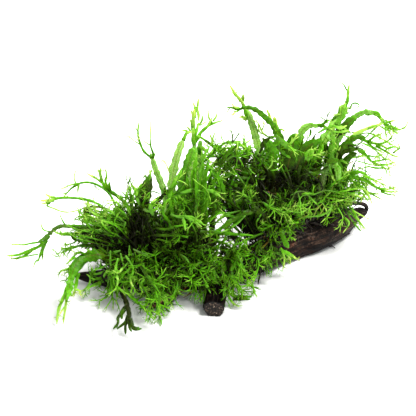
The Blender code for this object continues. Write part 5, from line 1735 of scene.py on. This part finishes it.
def bark_material(name, gain, sheen):
    """Dark waterlogged bark: grey worn ridges, red-brown patches, cross joints, pale painted glints, and
    painted light and shade around the limb.
    """
    material, tree, shader = new_material(name, 0.6)
    place = object_place(tree)
    fibre = bark_noise(tree, 26.0, 130.0, 4.0, 0.6)
    streak = bark_noise(tree, 5.0, 22.0, 4.0, 0.6)
    # Painted glints: pale patches of painted highlight along the limb.
    painted_glint = bark_noise(tree, 3.0, 110.0, 4.0, 0.6) * 17.0 - 6.9
    joint = clamped(abs(bark_noise(tree, 1.6, 150.0, 4.0, 0.6) - 0.5) * 20.0 + 0.1)
    height = named(tree, "relief") * 350.0 + 0.5
    for noise, share in ((fibre, 0.9), (streak, 1.5), (noise_at(place, 900.0, 4.0), 0.35)):
        height = height + (noise - 0.5) * share
    colour = ramp(height, BARK_COLOURS)
    patch = clamped((noise_at(place, 45.0, 3.0) - 0.5) * 5.0)
    colour = mix_colour(tree, patch * 0.5, colour, WORN_RED)
    # Painted light and shade around the limb, then the dark joints, then the painted glints.
    around = (named(tree, "turn") * (2 * math.pi)).math("SINE")
    colour = multiplied(multiplied(colour, ramp(around * 0.5 + 0.5, PAINTED_LIGHT_BAND)), joint)
    colour = multiplied(colour, painted_glint.math("MAXIMUM", 0.4))
    feed(shader, {
        "Base Color": multiplied(colour, (gain, 1.08 * gain, gain, 1)),
        "Roughness": noise_at(place, 120.0) * 0.4 + 0.4, "Specular IOR Level": sheen,
        "Normal": bumped(fibre + joint + noise_at(place, 1500.0, 5.0), 0.6, 0.4 * MM)})
    return material


BARK = bark_material("driftwood bark", 0.95, 0.09)
# The stub's bark is the same bark, about five times darker and with less sheen.
DARKER_STUB_BARK = bark_material("darker stub bark", 0.2, 0.03)

# %% [markdown]
# A tube keeps the girth of its solid: how far out each coarse ring reaches is read by angle,
# smoothed, and laid evenly between the rings along a smooth line. Each corner keeps its run along
# the limb and its turn around it, because the bark's pattern follows those.

# %% Tubes
AROUND = 120
LENGTH_STEP = 0.9 * MM
END_STEPS = 9
ANGLES = np.linspace(0, 2 * math.pi, AROUND, endpoint=False)


def across_frame(along):
    """Side and top directions across a line."""
    side = unit(np.cross(along, ABOVE))
    return side, np.cross(side, along)


def tube(line, reach):
    """Rings of points around a line, each as far off as `reach` says by step and angle."""
    side, top = across_frame(tangents(line))
    out = (side[:, None] * np.cos(ANGLES)[:, None] + top[:, None] * np.sin(ANGLES)[:, None])
    return line[:, None] + out * reach[:, :, None]


def even_shares(places, count):
    """Where evenly spaced points fall among stations, counted in stations."""
    reach = run_along(places)
    return np.interp(np.linspace(0, reach[-1], count), reach, np.arange(len(places)))


def fine_limb(rings, centres):
    """Fine tube through coarse rings, rounded off at its tip, and its run."""
    line = smooth(centres, LENGTH_STEP)
    coarse = np.zeros((len(rings), AROUND))
    for row, ring, centre, ahead in zip(coarse, rings, centres, tangents(centres)):
        if len(ring) > 1:
            side, top = across_frame(ahead)
            out = ring - centre
            angle = np.arctan2(out @ top, out @ side) % (2 * math.pi)
            order = np.argsort(angle)
            reach = np.linalg.norm(out[order], axis=1)
            reach = np.interp(ANGLES, angle[order], reach, period=2 * math.pi)
            row[:] = np.convolve(np.tile(reach, 3), np.ones(9) / 9, "same")[AROUND:2 * AROUND]
    share = even_shares(centres, len(line))
    fine = np.stack([np.interp(share, np.arange(len(centres)), coarse[:, k])
                     for k in range(AROUND)], axis=1)
    ease = np.clip((1 - np.linspace(0, 1, len(line))) * len(line) / END_STEPS, 0, 1)
    fine[-END_STEPS:] = fine[-END_STEPS - 1] * np.sqrt(ease[-END_STEPS:, None])
    return tube(line, fine), run_along(line)


def tube_mesh(name, points, run, soft):
    """Closed mesh of a tube with its run, turn and softness as attributes."""
    bm = bmesh.new()
    rows = [[bm.verts.new(p) for p in ring] for ring in points]
    for low, high in zip(rows, rows[1:]):
        for k in range(AROUND):
            j = (k + 1) % AROUND
            bm.faces.new((low[k], low[j], high[j], high[k]))
    for row, flip in ((rows[0], True), (rows[-1], False)):
        middle = bm.verts.new(np.mean([v.co for v in row], axis=0))
        for k in range(AROUND):
            pair = (row[k], row[(k + 1) % AROUND])
            bm.faces.new((*(pair[::-1] if flip else pair), middle))
    bmesh.ops.recalc_face_normals(bm, faces=bm.faces[:])
    mesh = bpy.data.meshes.new(name)
    bm.to_mesh(mesh)
    bm.free()
    turn = np.tile(ANGLES / (2 * math.pi), len(points))
    for key, values, ends in (("run", np.repeat(run, AROUND), [run[0], run[-1]]),
                              ("turn", turn, [0, 0]),
                              ("soft", np.repeat(soft, AROUND), [0, soft[-1]])):
        carry(mesh, key, np.concatenate([values, ends]).astype(np.float32))
    return mesh


def barked(node, points, run, soft, relief, bark):
    """Mesh of a tube with the bark cut in."""
    bare = tube_mesh(node, points, run, soft)
    return made_by(BARK_TREE, node + "_bark", bare, {"Relief": relief, "Material": bark})


# %% [markdown]
# The trunk and the left limb are made from the rings of their solids. The trunk is broken off
# blunt, and flaps and slivers of torn bark hang along its lower side.

# %% Limbs
# Rings past the trunk's last broad one, each (how broad, across, up, behind).
BLUNT_END = ((0.88, 122, -4.0, 61), (0.66, 125.5, -2.8, 64), (0.4, 127, -2.2, 66))
# Torn bark: (half width, across, up, across, up, ...).
TORN_BARK = (
    (2.6, 78, -33.5, 84, -32.5, 91, -31, 98, -28.5, 103, -26),
    (2.5, 96, -28, 102, -25.5, 108, -21.5, 112, -18.5),
    (2.0, 108, -19, 114, -14.5, 120, -9),
    (0.7, 92, -31, 97, -31, 100, -31.8), (0.5, 95, -30, 99, -30.5, 102, -33),
    (0.9, 78, -36.5, 82, -36.3, 86, -34.5), (0.5, 62, -42.5, 66, -41.5, 71, -40.5),
    (0.6, 70, -40.5, 75, -39.5, 79, -37.5), (0.6, 106, -24, 110, -22.5, 114, -20.5),
    (0.5, 84, -35, 88, -34, 90, -33.5), (0.5, 50, -47, 55, -46.5, 60, -44),
    (0.6, 40, -52, 46, -50.5, 52, -48),
)
UNDER = 5.5


def torn_bark(centres):
    """Flaps and slivers of bark along the trunk's lower side."""
    rng = random.Random("torn bark")
    middles = np.array([on_sheet(centre) for centre in centres])
    middles = middles[np.argsort(middles[:, 0])]
    flaps = []
    for width, *places in TORN_BARK:
        spots = spots_of(places)
        depths = np.interp(spots[:, 0], middles[:, 0], middles[:, 2]) - UNDER
        line = sheet_line(spots, depths, 1.0 * MM)
        half = width * MM * spread(len(line), ((0, 0.2), (0.2, 0.9), (0.8, 1), (1, 0.15)))
        half = half * ragged(rng, len(line), 0.25)
        flaps.append(strand(line, side_to_viewer(line), half, np.minimum(half * 0.5, 0.9 * MM),
                            0.0, 0.0))
    return grown_mesh("torn_bark", flaps, [], SPRIGS, BARK, 8)


def make_limb(node, relief):
    """Barked limb for one solid that is a plain loft of 12-sided rings, tip last."""
    points, layers = rings_of(node, 12, closed=False)
    rings = [points[layer] for layer in layers[::-1]]
    centres = np.array([ring.mean(axis=0) for ring in rings])
    trunk = node == "driftwood_trunk"
    if trunk:
        broad, middle = rings[-2], centres[-2]
        spots = [seen(*place) for _, *place in BLUNT_END]
        ends = zip(spots, BLUNT_END)
        rings = rings[:-1] + [spot + (broad - middle) * share for spot, (share, *_) in ends]
        centres = np.concatenate([centres[:-1], spots])
    points, run = fine_limb(rings, centres)
    mesh = barked(node, points, run, np.ones(len(run)), relief, BARK)
    if trunk:
        mesh = joined_meshes(mesh, torn_bark(centres))
    return finish_piece(node + "_bark", mesh, "bark", node)


for node in ("driftwood_trunk", "driftwood_left_limb"):
    print(node, len(make_limb(node, 1.9 * MM).data.polygons), "faces")

# %% [markdown]
# The stub, the spur and the splinter were cut where they meet the trunk, so they are drawn again
# from their middle lines and run on into the wood they grow from. The stub was sawn off: its end is
# flat, with dark wood, bright specks painted as glints of light, a dark pith and a rim of bark.

# %% Sawn end
SAWN_END = (-66 * MM, -47 * MM, 7.3 * MM)
SAWN_HALF = 8.0 * MM
SAWN_SHARES = np.array([0.93, 0.78, 0.6, 0.42, 0.24, 0.1])
# Sawn wood by grain noise: dark wood, its brightest stop giving bright specks of painted glint.
SAWN_WOOD_AND_GLINTS = ((0.42, (0.001, 0.001, 0.001)), (0.52, (0.022, 0.013, 0.01)),
             (0.58, (0.08, 0.05, 0.035)), (0.65, (0.55, 0.45, 0.36)))
SAWN_RINGS = ((0.0, (0.03, 0.03, 0.03)), (0.16, (0.3, 0.25, 0.22)), (0.3, (1, 0.95, 0.9)),
              (0.72, (1, 0.9, 0.8)), (0.92, (0.06, 0.05, 0.04)))


def vector_node(operation, first, second=(0, 0, 0), output="Vector"):
    """Vector Math node's output."""
    return output_of(first.tree, "ShaderNodeVectorMath", {0: first, 1: second}, output,
                     operation=operation)


def sawn_material():
    """Sawn end: dark rim, wood with faint rings and bright specks of painted glint, dark pith."""
    material, tree, shader = new_material("sawn end", 0.4)
    place = object_place(tree)
    sway = vector_node("SUBTRACT", noise_at(place, 260.0, output="Color"), (0.5, 0.5, 0.5))
    away = vector_node("ADD", vector_node("SUBTRACT", place, SAWN_END), scaled(sway, 2.6 * MM))
    out = vector_node("LENGTH", away, output="Value") / SAWN_HALF
    grain = noise_at(place, 640.0, 4.0, 0.65)
    shade = (out * 26.0).math("SINE") * 0.25 + 0.5
    colour = mix_colour(tree, shade, (0.005, 0.004, 0.003, 1), ramp(grain, SAWN_WOOD_AND_GLINTS))
    feed(shader, {"Base Color": multiplied(colour, ramp(out, SAWN_RINGS)),
                  "Specular IOR Level": 0.12, "Normal": bumped(grain, 0.7, 0.5 * MM)})
    return material


# %% Side limbs
SIDE_LIMBS = {
    "driftwood_lower_spur": (0.8 * MM, ((-79, -3, 9.5, 5.0), (-86, -13, 7.4, 6.2), (-95, -18, 6.0, 5.6),
                                        (-102, -20, 5.0, 3.8), (-108, -22, 4, 0.8))),
    "driftwood_end_splinter": (0.3 * MM, [(*seen(*place) / MM, radius) for *place, radius in (
        (98, 3, 46, 2.2), (106, 3.6, 50, 2.1), (114, 3.8, 55, 1.8), (121, 3.8, 60, 1.7),
        (125.5, 2.4, 64, 1.9), (127.2, -0.8, 66, 1.6), (126, -4, 66, 0.8))]),
    "driftwood_front_stub": (0.9 * MM, ((-46, -14, 11, 9.0), (-52, -23, 10.4, 8.8),
                                        (-58, -33, 9.2, 8.4), (-66, -47, 7.3, 8.0))),
}


def make_side_limb(node, relief, stations):
    """Barked side limb through stations of a middle point and a radius, in mm."""
    stations = np.array(stations) * MM
    centres, radii = stations[:, :3], stations[:, 3]
    line = smooth(centres, LENGTH_STEP)
    radius = np.interp(even_shares(centres, len(line)), np.arange(len(radii)), radii)
    girth = 1 + 0.05 * np.sin(3 * ANGLES) + 0.03 * np.sin(5 * ANGLES + 1)
    points, run = tube(line, radius[:, None] * girth), run_along(line)
    soft, whole = np.ones(len(run)), len(run)
    sawn = node == "driftwood_front_stub"
    if sawn:
        middle = points[-1].mean(axis=0)
        inner = middle + (points[-1] - middle) * SAWN_SHARES[:, None, None]
        points = np.concatenate([points, inner])
        run = np.append(run, [run[-1]] * len(inner))
        soft = np.append(soft, [0.0] * len(inner))
    mesh = barked(node, points, run, soft, relief, DARKER_STUB_BARK if sawn else BARK)
    if sawn:
        mesh.materials.append(sawn_material())
        for polygon in mesh.polygons:
            if min(polygon.vertices) >= (whole - 1) * AROUND:
                polygon.material_index = 1
                polygon.use_smooth = False
    finish_piece(node + "_bark", mesh, "bark", node)


for node, (relief, stations) in SIDE_LIMBS.items():
    make_side_limb(node, relief, stations)

# %% [markdown]
# ## Creeping stems and roots
# The fronds grow from two creeping stems, green-brown and scaly, held to the wood by a mat of fine
# dark roots. The mat and the painted shade there make the heart of each crown dark. Stem and roots
# go through the leaf tree as well, as ribbons that are as thick as they are wide, and chance bends each
# root.

# %% Stems and roots
STEM_HALF = 2.1 * MM
ROOT_COUNT = 300


def speckled_material(name, roughness, scale, detail, stops):
    """Stem or root of uneven colour."""
    material, tree, shader = new_material(name, roughness)
    feed(shader, {"Base Color": ramp(noise_at(object_place(tree), scale, detail), stops)})
    return material


STEM = speckled_material("creeping stem", 0.5, 500.0, 3.0, (
    (0.3, (0.012, 0.012, 0.005)), (0.5, (0.04, 0.045, 0.012)), (0.7, (0.1, 0.11, 0.03))))
ROOT = speckled_material("dark root", 0.6, 350.0, 2.0, (
    (0.35, (0.006, 0.004, 0.003)), (0.7, (0.03, 0.018, 0.01))))
PALE_ROOT = speckled_material("pale root", 0.6, 350.0, 2.0, (
    (0.35, (0.16, 0.09, 0.04)), (0.7, (0.45, 0.33, 0.2))))


def root_strand(rng, start, toward, length, half):
    """One thin wandering root."""
    points, heading = [start], unit(toward)
    for _ in range(4):
        heading = unit(heading + 0.55 * askew(rng))
        following = points[-1] + heading * length / 4
        following[2] = max(following[2], 2 * MM)
        points.append(following)
    line = smooth(points, length / 7)
    return strand(line, np.cross(heading, (0.3, 0.2, 1.0)), half * spread(len(line), ((0, 1), (1, 0.4))),
                  half, 0.0, 0.0)


def make_stem(node):
    """Scaly creeping stem for one solid, with its mat of roots."""
    rng = random.Random(node)
    points, layers = rings_of(node, 6)
    line = smooth([points[layer].mean(axis=0) for layer in layers], 1.0 * MM)
    half = STEM_HALF * (1 + 0.12 * np.sin(np.arange(len(line)) * 1.9)) * spread(
        len(line), ((0, 0.4), (0.06, 1), (0.94, 1), (1, 0.4)))
    stem = grown_mesh(node, [strand(line, ABOVE, half, half, 0.0, 0.0)], [], SPRIGS, STEM, 10)
    roots = []
    for _ in range(ROOT_COUNT):
        start = line[rng.randrange(len(line))]
        toward = (rng.uniform(-1, 1), rng.uniform(-1, 1), rng.uniform(-1.0, 0.5))
        roots.append(root_strand(rng, start, toward, rng.uniform(9, 20) * MM, 0.25 * MM))
    root_mesh = grown_mesh(node + "_roots", roots, [], SPRIGS, ROOT, 4)
    finish_piece(node + "_body", stem, "creeping_stem", node)
    finish_piece(node + "_roots", root_mesh, "creeping_stem")


# Pale roots at the foot of the right crown: (across, up, behind, ...).
PALE_ROOTS = (
    (93, 5, 30, 90, 0, 26, 88, -5, 24), (90, 5, 30, 88, 2, 28, 87, -1, 26),
    (88, -2, 24, 90, 4, 26, 94, 6, 30), (84, 3, 26, 82, -3, 22, 83, -8, 20),
    (22, 31, 0, 25, 30.5, 0, 27, 29, 2), (100, 4, 36, 97, -1, 32, 96, -6, 30),
    (76, 0, 22, 74, -5, 18, 76, -9, 16),
)


def pale_roots():
    """The few pale roots that catch the light."""
    strands = []
    for row in PALE_ROOTS:
        line = smooth([seen(*place) for place in np.reshape(row, (-1, 3))], 1.0 * MM)
        half = 0.42 * MM * spread(len(line), ((0, 1), (1, 0.4)))
        strands.append(strand(line, side_to_viewer(line), half, half, 0.0, 0.0))
    mesh = grown_mesh("pale_roots", strands, [], SPRIGS, PALE_ROOT, 6)
    finish_piece("pale_roots", mesh, "creeping_stem")


for node in ("creeping_stem_left", "creeping_stem_right"):
    make_stem(node)
pale_roots()

# %% [markdown]
# Last, the sprig shapes are put away and the triangles of all shown pieces are counted. The solids
# that have a finished piece were hidden as each piece was made.

# %% Finish
for shape_object in list(SPRIGS.objects):
    bpy.data.objects.remove(shape_object)
bpy.data.collections.remove(SPRIGS)
bpy.context.view_layer.update()
triangles = sum(len(p.vertices) - 2 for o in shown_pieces() if o.type == "MESH" for p in o.data.polygons)
print("triangles:", triangles)
